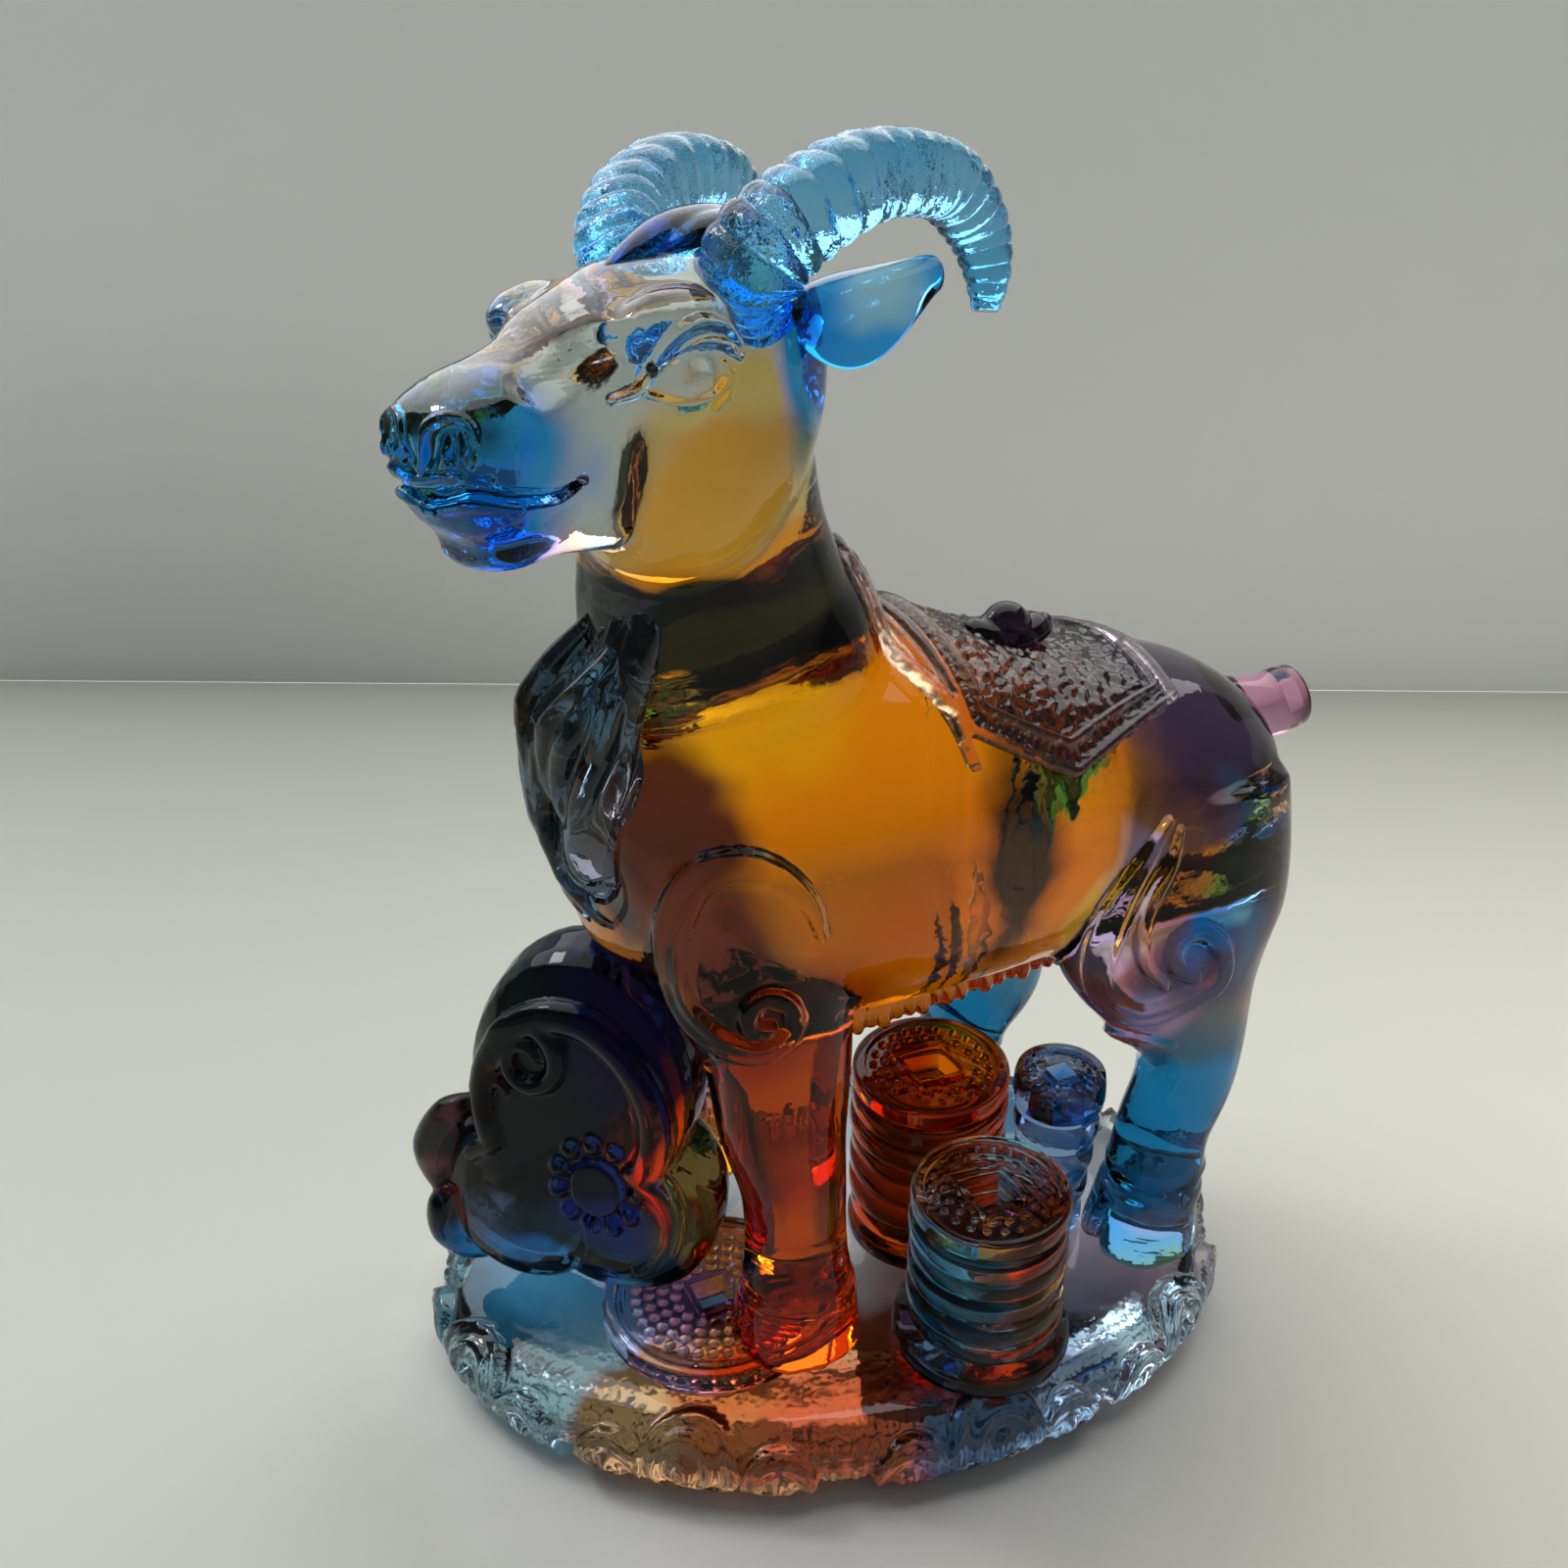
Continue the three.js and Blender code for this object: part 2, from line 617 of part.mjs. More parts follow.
// Body pieces. Each later piece is cut back by the earlier ones plus the gap.
const torsoGap = torso(SEAT_GAP);
place("torso", torso(0), 0xd98a1e);
place("neck", cutBy(neck(0), torsoGap), 0x1d4a52);
place("head", cutBy(head(0), neck(SEAT_GAP)), 0xa8c4c0);
const foreLegGap = foreLeg(SEAT_GAP);
const hindLegGap = hindLeg(SEAT_GAP);
const foreLegBody = cutBy(foreLeg(0), torsoGap);
const hindLegRight = mirrored(hindLeg(0)).translate(HIND_STEP);
place("foreleg_left", foreLegBody, 0xb03a1a);
place("foreleg_right", mirrored(foreLegBody), 0x7a3a80);
place("hindleg_left", cutBy(hindLeg(0), torsoGap), 0x3a3a90);
place("hindleg_right", cutBy(hindLegRight, torsoGap), 0x3a3a90);
const baseGap = plinth(SEAT_GAP);
const hindHoofGap = hoof(HIND_HOOF_AT, hindHoofSole, 8, SEAT_GAP);
const foreHoof = cutBy(hoof(FORE_HOOF_AT, foreHoofSole, 8.4), foreLegGap);
const hindHoof = cutBy(hoof(HIND_HOOF_AT, hindHoofSole, 8), hindLegGap, baseGap);
place("hoof_fore_left", foreHoof, 0xd0441a);
place("hoof_fore_right", mirrored(foreHoof), 0x7a3a80);
place("hoof_hind_left", hindHoof, 0x2f8fd8);
place("hoof_hind_right", mirrored(hindHoof).translate(HIND_STEP), 0x2f8fd8);

// Stations along the horn's middle line in the head's axes, with the half
// breadth and half depth of its section there.
const hornStations = [
  [3, 7.4, 6.5, 4.4, 4.6],
  [2.4, 9.4, 11, 4.4, 4.6],
  [-2.4, 12, 14.8, 4.2, 4.4],
  [-11, 14, 16.8, 3.9, 4.2],
  [-19, 15.4, 15, 3.5, 3.8],
  [-23, 16.8, 10.4, 3, 3.3],
  [-23.6, 17.8, 5.4, 2.4, 2.6],
  [-22.6, 18.2, 1.2, 1.3, 1.4],
];
function horn(hand, grow) {
  const rows = hornStations.map(([ahead, aside, up, breadth, depth]) => [
    ...headPoint(ahead, aside * hand, up).toArray(),
    breadth,
    depth,
  ]);
  return loft(rows, ASIDE, {
    grow,
    sides: 8,
    rings: 28,
    power: 3,
    ribs: grow ? null : { depth: 0.055 },
  });
}

// A leaf cupped along its middle: the ring runs out over the front face and
// back over the rear face.
function ear(hand) {
  const length = 17;
  const across = 7.4;
  const steps = 9;
  const points = [];
  const faces = [];
  const root = headPoint(0.5, 11.6 * hand, 4.5);
  const out = ASIDE.clone().multiplyScalar(hand * 0.74).addScaledVector(AHEAD, -0.62);
  out.z = 0.2;
  out.normalize();
  const wide = new THREE.Vector3(AHEAD.x, AHEAD.y, -0.9);
  wide.addScaledVector(out, -wide.dot(out)).normalize();
  const deep = new THREE.Vector3().crossVectors(out, wide).multiplyScalar(hand);
  for (let i = 0; i <= steps; i++) {
    const t = i / steps;
    const leaf = Math.sin(Math.PI * t ** 0.8) ** 0.9 * (1 - t * 0.35);
    const half = (across / 2) * (0.42 + 1.25 * leaf);
    const thick = 1.5 * (1 - 0.6 * t) + 0.35;
    for (let j = 0; j < 10; j++) {
      const angle = (j / 10) * Math.PI * 2;
      const u = Math.cos(angle);
      const cup = 3.2 * u * u * Math.sin(Math.PI * Math.min(1, t + 0.1));
      const v = cup + thick * Math.sin(angle);
      const bend = -2.2 * t * t;
      const point = root
        .clone()
        .addScaledVector(out, length * t)
        .addScaledVector(wide, half * u * (t === 1 ? 0.15 : 1))
        .addScaledVector(deep, v + bend);
      points.push(point);
    }
  }
  for (let i = 0; i < steps; i++) {
    for (let j = 0; j < 10; j++) {
      const next = (j + 1) % 10;
      const [a, b] = [i * 10 + j, (i + 1) * 10 + j];
      const [c, d] = [(i + 1) * 10 + next, i * 10 + next];
      if (hand > 0) faces.push(a, c, b, a, d, c);
      else faces.push(a, b, c, a, c, d);
    }
  }
  for (let j = 1; j < 9; j++) {
    const end = steps * 10;
    if (hand > 0) faces.push(0, j + 1, j, end, end + j, end + j + 1);
    else faces.push(0, j, j + 1, end, end + j + 1, end + j);
  }
  const geometry = new THREE.BufferGeometry().setFromPoints(points);
  geometry.setIndex(faces);
  return solid(geometry);
}

// A tuft of hair lying between the horns.
function forelock() {
  const rows = [
    [...headPoint(-4, 0, 11).toArray(), 3.5, 2.6],
    [...headPoint(0, 0, 13.2).toArray(), 5.4, 2.6],
    [...headPoint(6, 0, 13.4).toArray(), 5, 2.2],
    [...headPoint(12, 0, 11.6).toArray(), 2.6, 1.6],
    [...headPoint(15, 0, 10.2).toArray(), 0.6, 0.5],
  ];
  return loft(rows, ASIDE, { sides: 7, rings: 5, power: 2 });
}

const headGap = head(SEAT_GAP);
const neckGap = neck(SEAT_GAP);
for (const [side, hand] of [["left", 1], ["right", -1]]) {
  place("horn_" + side, cutBy(horn(hand, 0), headGap), 0x66b8f0);
  place("ear_" + side, cutBy(ear(hand), headGap, horn(hand, SEAT_GAP)), 0x3f9df0);
  const eyeAt = headPoint(16.4, 12.4 * hand, 1.6).toArray();
  const lidAt = headPoint(16.6, 13 * hand, 4).toArray();
  const ball = ellipsoid(eyeAt, [3.4, 2.4, 2.5], HEAD_TURN, 8);
  const lid = ellipsoid(lidAt, [5, 2.4, 1.3], HEAD_TURN, 8);
  place("eye_" + side, cutBy(joined(ball, lid), headGap), 0xd8c890);
}
place("forelock", cutBy(forelock(), headGap, horn(1, SEAT_GAP), horn(-1, SEAT_GAP)), 0x2f8fe8);

// One wavy lock. "sway" moves it sideways in waves, "out" to one side.
function lock(out, sway, top, bottom, thick, grow) {
  const rows = [];
  for (let k = 0; k <= 8; k++) {
    const t = k / 8;
    const z = top + (bottom - top) * t;
    const hang = Math.sin(Math.PI * (0.12 + 0.72 * t));
    const front = -37 - 5 * hang + 1.6 * Math.sin(t * 11 + out);
    const spread = out * (0.5 + 0.9 * Math.sin(Math.PI * t));
    const y = HEAD_AT.y * (0.7 - 0.5 * t) + spread + sway * Math.sin(t * 9);
    const size = thick * (0.62 + 0.55 * Math.sin(Math.PI * (0.15 + 0.7 * t)));
    rows.push([front, y, z, size * 1.15, size, size]);
  }
  return loft(rows, LENGTHWISE, { grow, sides: 6, rings: 9, power: 2 });
}
const maneTop = HEAD_AT.z - MANE_BELOW_HEAD;
const maneFoot = maneTop - MANE_LENGTH;
const sideTop = maneTop - 3;
const sideFoot = maneFoot + 6;
const maneMiddle = (grow) => lock(0, 0.9, maneTop, maneFoot, 4.3, grow);
const maneSide = (hand, grow) => lock(MANE_SPREAD * hand, -0.9, sideTop, sideFoot, 3.7, grow);
const maneCuts = [torsoGap, neckGap, headGap];
const maneGap = maneMiddle(SEAT_GAP);
place("mane_middle", cutBy(maneMiddle(0), ...maneCuts), 0x24405c);
place("mane_left", cutBy(maneSide(-1, 0), ...maneCuts, maneGap), 0x24405c);
place("mane_right", cutBy(maneSide(1, 0), ...maneCuts, maneGap), 0x24405c);

// Lays a scroll drawn in a plane onto the body. The plane faces along
// "heading" (degrees from +Y), h runs across it and z is height.
function pressed(path, heading, target, lift) {
  const turn = THREE.MathUtils.degToRad(heading);
  const into = new THREE.Vector3(Math.sin(turn), Math.cos(turn), 0);
  const across = new THREE.Vector3(Math.cos(turn), -Math.sin(turn), 0);
  const mesh = new THREE.Mesh(geometryOf(target));
  mesh.material.side = THREE.DoubleSide;
  const caster = new THREE.Raycaster();
  const points = path.map(([h, z]) => {
    const from = across.clone().multiplyScalar(h).addScaledVector(into, -OUTSIDE);
    from.z = z;
    caster.set(from, into);
    const hit = caster.intersectObject(mesh)[0];
    return hit ? hit.point.addScaledVector(into, -lift) : null;
  });
  return new THREE.CatmullRomCurve3(points.filter(Boolean));
}

// A scroll's plan: an arc round one centre that winds into an eye at another.
function scrollPath(from, to, arc, radius, eye) {
  const path = [];
  for (let k = 0; k <= 22; k++) {
    const t = k / 22;
    const swing = Math.PI * (arc[0] + (arc[1] - arc[0]) * t);
    const size = eye + (radius - eye) * (1 - t) ** 1.3;
    const drift = Math.min(1, t * 1.6);
    const h = from[0] + (to[0] - from[0]) * drift;
    const z = from[1] + (to[1] - from[1]) * drift;
    path.push([h + size * Math.cos(swing), z + size * Math.sin(swing)]);
  }
  return path;
}
const quarters = joined(torso(0), foreLeg(0), hindLeg(0));
const bodyGap = joined(torsoGap, foreLegGap, hindLegGap);
const shoulderArc = pressed(
  scrollPath([-18, BODY_HEIGHT - 1], [-15.5, BODY_HEIGHT - 12], [0.05, 3.2], 11.5, 2.2),
  25,
  quarters,
  0.5,
);
const haunchArc = pressed(
  scrollPath([32, BODY_HEIGHT - 17], [32.5, BODY_HEIGHT - 21.5], [0.55, 3.3], 16, 2.4),
  0,
  quarters,
  0.5,
);
const shoulderRod = rod(shoulderArc, 1.9, { steps: 17, sides: 4 });
const haunchRod = rod(haunchArc, 1.9, { steps: 18, sides: 4 });
place("shoulder_scroll_left", cutBy(shoulderRod, bodyGap), 0x8a2a3a);
place("shoulder_scroll_right", mirrored(cutBy(shoulderRod, bodyGap)), 0x8a2a3a);
place("haunch_scroll_left", cutBy(haunchRod, bodyGap), 0x8a2a3a);
const haunchRight = mirrored(haunchRod).translate(HIND_STEP);
const bodyRightGap = joined(torsoGap, mirrored(hindLegGap).translate(HIND_STEP));
place("haunch_scroll_right", cutBy(haunchRight, bodyRightGap), 0x8a2a3a);

// Belly fringe: a ragged curtain of hair between the legs.
const TUFTS = 8;
const TUFT_WIDTH = 3.6;
const TUFT_DROP = 3;
const fringeFoot = BODY_HEIGHT - 28.4;
const fringe = [[-8, fringeFoot + 6.4]];
for (let k = 0; k <= TUFTS; k++) {
  const x = -8 + k * TUFT_WIDTH;
  const z = fringeFoot + 0.25 * k;
  fringe.push([x, z]);
  if (k < TUFTS) fringe.push([x + TUFT_WIDTH / 2, z - TUFT_DROP]);
}
fringe.push([-8 + TUFTS * TUFT_WIDTH + 0.2, fringeFoot + 6.4]);
const curtain = sidePrism(fringe, -12.5, -8.5);
place("belly_fringe", cutBy(curtain, torsoGap, foreLegGap, hindLegGap), 0xc86a1a);

// A short tail standing out from the rump.
const tailRows = [
  [49, 0, BODY_HEIGHT + 1, 5.2, 5.2],
  [56, 0, BODY_HEIGHT - 0.6, 5, 5],
  [62, 0, BODY_HEIGHT - 1, 4.8, 4.8],
  [67, 0, BODY_HEIGHT - 0.4, 4.6, 4.8],
];
const tail = loft(tailRows, LEFTWARDS, { sides: 12, rings: 4, power: 2 });
place("tail", cutBy(tail, torsoGap), 0xc06aa0);

// The saddle cloth, in side view: x, and the height over the body's middle line.
function onFlank(outline) {
  return outline.map(([x, up]) => [x, BODY_HEIGHT + up]);
}
const blanketOutline = onFlank([[0, 42], [0.6, 16.5], [15, 7.5], [35, 10.5], [38, 42]]);
const blanketField = onFlank([[3, 41], [3.4, 18], [15, 10.8], [32.6, 13.2], [35, 41]]);
const trimOutline = onFlank([[-8.5, 42], [-7.5, 24.5], [-3, 16], [0.1, 15.2], [-0.4, 42]]);
const borderShell = cutBy(torso(BORDER_THICK), torsoGap);
const fieldShell = cutBy(torso(BLANKET_THICK), torsoGap);
const edge = SEAT_GAP;
const fieldHole = onFlank([
  [3 - edge, 41],
  [3.4 - edge, 18 - edge],
  [15, 10.8 - 1.2 * edge],
  [32.6 + edge, 13.2 - edge],
  [35 + edge, 41],
]);
const across = (outline) => sidePrism(outline, -OUTSIDE, OUTSIDE);
const field = fieldShell.intersect(across(blanketField));
const border = borderShell.intersect(across(blanketOutline));
const frontTrim = borderShell.intersect(across(trimOutline));
place("saddle_blanket", field, 0x4a2a4a);
place("saddle_border", cutBy(border, across(fieldHole), neckGap), 0x8a4a50);
place("saddle_front_trim", cutBy(frontTrim, neckGap), 0x6a4a30);
const ingot = joined(
  ellipsoid([17, 0, BODY_HEIGHT + 19], [7, 4.2, 2.4], 0, 10),
  ellipsoid([17, 0, BODY_HEIGHT + 20.4], [3, 2.6, 2.6], 0, 8),
);
place("saddle_ingot", cutBy(ingot, torso(BLANKET_THICK + SEAT_GAP)), 0x2a1a30);

// The cloud head: a lobed scroll that leans under the chest.
// Its outline in shares of the half width and the height, drawn in by "inset".
function ruyiShape(inset) {
  const shrink = 1 - inset / RUYI_HALF_WIDTH;
  const x = (share) => share * RUYI_HALF_WIDTH * shrink;
  const z = (share) => (0.48 + (share - 0.48) * shrink) * RUYI_HEIGHT;
  const shape = new THREE.Shape();
  shape.moveTo(x(0), z(0.06));
  shape.bezierCurveTo(x(0.28), z(-0.06), x(0.98), z(-0.02), x(1), z(0.24));
  shape.bezierCurveTo(x(1.02), z(0.38), x(0.84), z(0.44), x(0.67), z(0.46));
  shape.bezierCurveTo(x(1.02), z(0.72), x(0.47), z(1), x(0), z(1));
  shape.bezierCurveTo(x(-0.56), z(1), x(-0.98), z(0.72), x(-0.7), z(0.46));
  shape.bezierCurveTo(x(-0.88), z(0.44), x(-1.02), z(0.38), x(-1), z(0.22));
  shape.bezierCurveTo(x(-0.98), z(-0.02), x(-0.28), z(-0.06), x(0), z(0.06));
  return shape;
}
function posed(geometry) {
  geometry.rotateX(Math.PI / 2);
  geometry.rotateX(RUYI_LEAN);
  geometry.rotateZ(RUYI_TURN);
  geometry.translate(...RUYI_AT, BASE_TOP + SEAT_GAP + 1.6);
  return geometry;
}
function ruyi(depth, inset, bevel, shift) {
  const plate = new THREE.ExtrudeGeometry(ruyiShape(inset), {
    depth,
    bevelThickness: bevel,
    bevelSize: bevel * 0.8,
    bevelSegments: 2,
    curveSegments: 4,
  });
  plate.translate(0, 0, -depth / 2 + shift);
  return solid(posed(plate));
}
const stepDisc = new THREE.CylinderGeometry(
  STEP_COIN_RADIUS + SEAT_GAP,
  STEP_COIN_RADIUS + SEAT_GAP,
  COIN_THICK + 2 * SEAT_GAP,
  18,
);
stepDisc.rotateX(Math.PI / 2);
stepDisc.translate(...STEP_COIN_CENTRE, STEP_FLOOR + COIN_THICK / 2);
const ruyiCuts = [foreLegGap, mirrored(foreLegGap), torsoGap, baseGap, solid(stepDisc)];
const ROUNDING = 4.5; // bevel round the edge of the cloud head
const FLAT = RUYI_DEPTH - 2 * ROUNDING;
const ruyiBody = cutBy(ruyi(FLAT, 5, ROUNDING, 0), ...ruyiCuts, maneGap);
place("ruyi_head", ruyiBody, 0x1a2a5a);

// Its border band runs round the front face and ends in a curl.
const FACE = RUYI_DEPTH / 2 + SEAT_GAP;
const CURL_AT = [-0.21 * RUYI_HALF_WIDTH, 0.704 * RUYI_HEIGHT];
const CURL_RADIUS = 4.4;
function ruyiBand(grow) {
  const band = ruyiShape(7.5)
    .getSpacedPoints(30)
    .slice(3, 27)
    .map((p) => new THREE.Vector3(p.x, p.y, FACE + 0.5));
  const lead = [[-0.465, 0.556], [-0.474, 0.667]].map(
    ([x, z]) => new THREE.Vector3(x * RUYI_HALF_WIDTH, z * RUYI_HEIGHT, FACE + 0.5),
  );
  const curl = [1, 2, 3, 4, 5, 6, 7].map((k) => {
    const swing = Math.PI * (0.9 - 0.22 * k);
    const size = CURL_RADIUS * (1 - 0.09 * k);
    const [x, z] = [CURL_AT[0] + size * Math.cos(swing), CURL_AT[1] + size * Math.sin(swing)];
    return new THREE.Vector3(x, z, FACE + 0.5);
  });
  const hook = new THREE.CatmullRomCurve3([...lead, ...curl]);
  return joined(
    rod(new THREE.CatmullRomCurve3(band), 1.4 + grow, { steps: 20, sides: 4 }),
    rod(hook, 1.5 + grow, { steps: 10, sides: 4 }),
  );
}
function posedSolid(body) {
  return solid(posed(geometryOf(body)));
}
const ruyiGap = ruyi(FLAT, 5 - SEAT_GAP, ROUNDING, SEAT_GAP);
place("ruyi_border", cutBy(posedSolid(ruyiBand(0)), ruyiGap, ...ruyiCuts), 0x4a3a7a);

// A flower of beads on the lower lobe.
const FLOWER_RADIUS = 5;
const PETALS = 9;
const petals = [];
for (let k = 0; k < PETALS; k++) {
  const angle = (k / PETALS) * Math.PI * 2;
  petals.push(bead([FLOWER_RADIUS * Math.cos(angle), FLOWER_RADIUS * Math.sin(angle), 0.9], 1.5));
}
const disc = new THREE.CylinderGeometry(FLOWER_RADIUS + 0.8, FLOWER_RADIUS + 0.8, 0.9, 12);
disc.rotateX(Math.PI / 2).translate(0, 0, 0.5);
const boss = new THREE.CylinderGeometry(2.6, 3.4, 2, 10).rotateX(Math.PI / 2).translate(0, 0, 1);
const flowerAt = [0.21 * RUYI_HALF_WIDTH, 0.39 * RUYI_HEIGHT, FACE];
const flower = joined(solid(disc), solid(boss), ...petals).translate(flowerAt);
const bandGap = posedSolid(ruyiBand(SEAT_GAP * Math.SQRT2));
place("ruyi_flower", cutBy(posedSolid(flower), ruyiGap, bandGap), 0x1a2a6a);

// Coins: the one that the forelegs stand on, two stacks in front and a column behind.
const stepCoin = beadedCoin(STEP_COIN_RADIUS, COIN_THICK, 16);
place("step_coin", stepCoin.translate([...STEP_COIN_CENTRE, STEP_FLOOR]), 0xb8602a);
stack("tall_stack", TALL_STACK, STEP_FLOOR, 0xc87a20, [torsoGap]);
const behindPlate = new THREE.CylinderGeometry(
  TALL_STACK.radius + 3 * SEAT_GAP,
  TALL_STACK.radius + 3 * SEAT_GAP,
  4 * COIN_THICK,
  24,
);
behindPlate.rotateX(Math.PI / 2);
behindPlate.translate(...TALL_STACK.at, STEP_FLOOR);
const frontAt = besideTall(FRONT_STACK, SEAT_GAP);
stack("front_stack", { ...FRONT_STACK, at: frontAt }, STEP_FLOOR, 0x2f6a9a, [solid(behindPlate)]);
const rearColumn = column({ ...REAR_STACK, at: besideTall(REAR_STACK, 1) }, STEP_FLOOR);
place("rear_coin_column", cutBy(rearColumn, hindLegGap, hindHoofGap), 0x9fb0c8);

// The origin is the middle of the outline, on the table.

const box = new THREE.Box3().setFromObject(group);
const middle = box.getCenter(new THREE.Vector3());
group.position.set(-middle.x, -middle.y, -box.min.z);

export default group;
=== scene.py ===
import math

import bmesh
import bpy
import numpy as np
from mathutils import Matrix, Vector, noise
from mathutils.bvhtree import BVHTree
from mathutils.kdtree import KDTree


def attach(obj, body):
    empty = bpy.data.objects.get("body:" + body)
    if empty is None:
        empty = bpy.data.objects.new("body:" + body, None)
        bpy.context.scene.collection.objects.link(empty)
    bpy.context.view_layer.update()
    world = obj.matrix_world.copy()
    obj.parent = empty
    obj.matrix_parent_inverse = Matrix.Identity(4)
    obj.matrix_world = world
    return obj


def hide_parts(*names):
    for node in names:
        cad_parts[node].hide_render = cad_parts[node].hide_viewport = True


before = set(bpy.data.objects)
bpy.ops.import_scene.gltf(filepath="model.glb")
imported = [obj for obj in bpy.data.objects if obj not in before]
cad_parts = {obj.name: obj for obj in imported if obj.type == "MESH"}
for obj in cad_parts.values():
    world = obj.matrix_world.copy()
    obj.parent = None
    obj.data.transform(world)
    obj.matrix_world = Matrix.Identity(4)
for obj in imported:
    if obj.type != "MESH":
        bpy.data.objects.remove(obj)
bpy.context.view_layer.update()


# The camera.
# It looks down on the goat's left side, from a hand's breadth above its head.
# The photograph is taken as 1600 by 1600, with a focal length of 1700 pixels.
PHOTO = 1600
FOCAL = 1700
CAMERA_TURN = math.radians(25)
bpy.ops.object.select_all(action="DESELECT")
bpy.ops.object.camera_add(
    location=(-0.09256, -0.16675, 0.191),
    rotation=(math.radians(61), 0, -CAMERA_TURN),
)
camera = bpy.context.object
camera.name = "camera"
camera.data.sensor_width = 36
camera.data.lens = 36 * FOCAL / PHOTO
camera.data.clip_start = 0.005
bpy.context.scene.camera = camera
bpy.context.view_layer.update()


# The base.
# One thick casting of pale glass, flat underneath, with a low polished dome on
# top and cloud heads, volutes and rows of beads raised round its rim.
def spot(x, y, z):
    """A place in the frame from drawing millimetres, measured from the goat's middle plane."""
    return Vector((x - 1.341, y - 1.413, z)) / 1000


def smoothed(rows, count):
    """Rows of numbers at equal steps along a smooth curve through the given ones."""
    rows = np.array(rows, float)
    ends = np.vstack([2 * rows[0] - rows[1], rows, 2 * rows[-1] - rows[-2]])
    fine = []
    for t in np.linspace(0, len(rows) - 1, count):
        k = min(int(t), len(rows) - 2)
        a, b, c, d = ends[k : k + 4]
        f = t - k
        bend = (2 * a - 5 * b + 4 * c - d) * f * f + (3 * b - a - 3 * c + d) * f**3
        fine.append(b + 0.5 * ((c - a) * f + bend))
    return np.array(fine)


def extruded(name, sections):
    """A closed body: a filled circle extruded through the sections, ring by ring."""
    bpy.ops.object.select_all(action="DESELECT")
    bpy.ops.mesh.primitive_circle_add(
        vertices=len(sections[0]), radius=0.001, fill_type="NGON"
    )
    piece = bpy.context.object
    piece.name = piece.data.name = name
    places = [Vector(p) for p in sections[0]]
    for vertex, place in zip(piece.data.vertices, places):
        vertex.co = place
    bpy.ops.object.mode_set(mode="EDIT")
    bpy.ops.mesh.select_all(action="SELECT")
    mesh = bmesh.from_edit_mesh(piece.data)
    mesh.verts.ensure_lookup_table()
    ring = list(mesh.verts)
    for section in sections[1:]:
        old = [v.index for v in ring]
        bpy.ops.mesh.extrude_region_move()
        mesh = bmesh.from_edit_mesh(piece.data)
        mesh.verts.ensure_lookup_table()
        ring = [
            next(e.other_vert(mesh.verts[k]) for e in mesh.verts[k].link_edges
                 if e.other_vert(mesh.verts[k]).select)
            for k in old
        ]
        for vertex, place in zip(ring, section):
            vertex.co = place
        mesh.verts.index_update()
    bpy.ops.mesh.select_all(action="SELECT")
    bpy.ops.mesh.normals_make_consistent(inside=False)
    bpy.ops.object.mode_set(mode="OBJECT")
    return piece


def fed(tree, node, inputs):
    """Gives a node's inputs their values, or the outputs that feed them."""
    for key, value in inputs.items():
        if isinstance(value, bpy.types.NodeSocket):
            tree.links.new(value, node.inputs[key])
        else:
            node.inputs[key].default_value = value
    return node


def placed(tree, kind, inputs=None, **settings):
    """A new shader node with its settings and inputs."""
    node = tree.nodes.new("ShaderNode" + kind)
    for setting, value in settings.items():
        setattr(node, setting, value)
    return fed(tree, node, inputs or {})


def group_of(name, inputs, output):
    """An empty shader group. Gives it, its given values and the node that takes its result."""
    group = bpy.data.node_groups.new(name, "ShaderNodeTree")
    for label, kind in inputs.items():
        group.interface.new_socket(name=label, in_out="INPUT", socket_type="NodeSocket" + kind)
    label, kind = output
    group.interface.new_socket(name=label, in_out="OUTPUT", socket_type="NodeSocket" + kind)
    return group, group.nodes.new("NodeGroupInput").outputs, group.nodes.new("NodeGroupOutput")


def oval(tree, centre, reach, softness):
    """One inside a soft oval and nothing outside it, its edge drawn out by noise."""
    place = placed(tree, "TexCoord").outputs["Object"]
    swirl = placed(tree, "TexNoise", {"Vector": place, "Scale": 70, "Detail": 2})
    flow = swirl.outputs["Color"]
    for operation, inputs in (
        ("SUBTRACT", {1: (0.5, 0.5, 0.5)}),
        ("SCALE", {"Scale": 0.014}),
        ("ADD", {1: place}),
        ("SUBTRACT", {1: centre}),
        ("DIVIDE", {1: reach}),
        ("LENGTH", {}),
    ):
        node = placed(tree, "VectorMath", {0: flow, **inputs}, operation=operation)
        flow = node.outputs["Value" if operation == "LENGTH" else "Vector"]
    inner, outer = (
        placed(tree, "Math", {0: 1, 1: softness}, operation=way).outputs[0]
        for way in ("SUBTRACT", "ADD")
    )
    return placed(tree, "MapRange", {
        "Value": flow,
        "From Min": inner,
        "From Max": outer,
        "To Min": 1,
        "To Max": 0,
    }, interpolation_type="SMOOTHSTEP").outputs["Result"]


def mixed(tree, mask, under, laid):
    """One colour laid over another where a mask says."""
    return placed(tree, "Mix", {0: mask, 6: under, 7: laid}, data_type="RGBA").outputs[2]


# One colour laid over another inside a soft oval.
colour_patch, given, result = group_of("colour_patch", {
    "Under": "Color", "Laid": "Color", "Centre": "Vector", "Reach": "Vector", "Softness": "Float",
}, ("Color", "Color"))
mask = oval(colour_patch, given["Centre"], given["Reach"], given["Softness"])
fed(colour_patch, result, {"Color": mixed(colour_patch, mask, given["Under"], given["Laid"])})

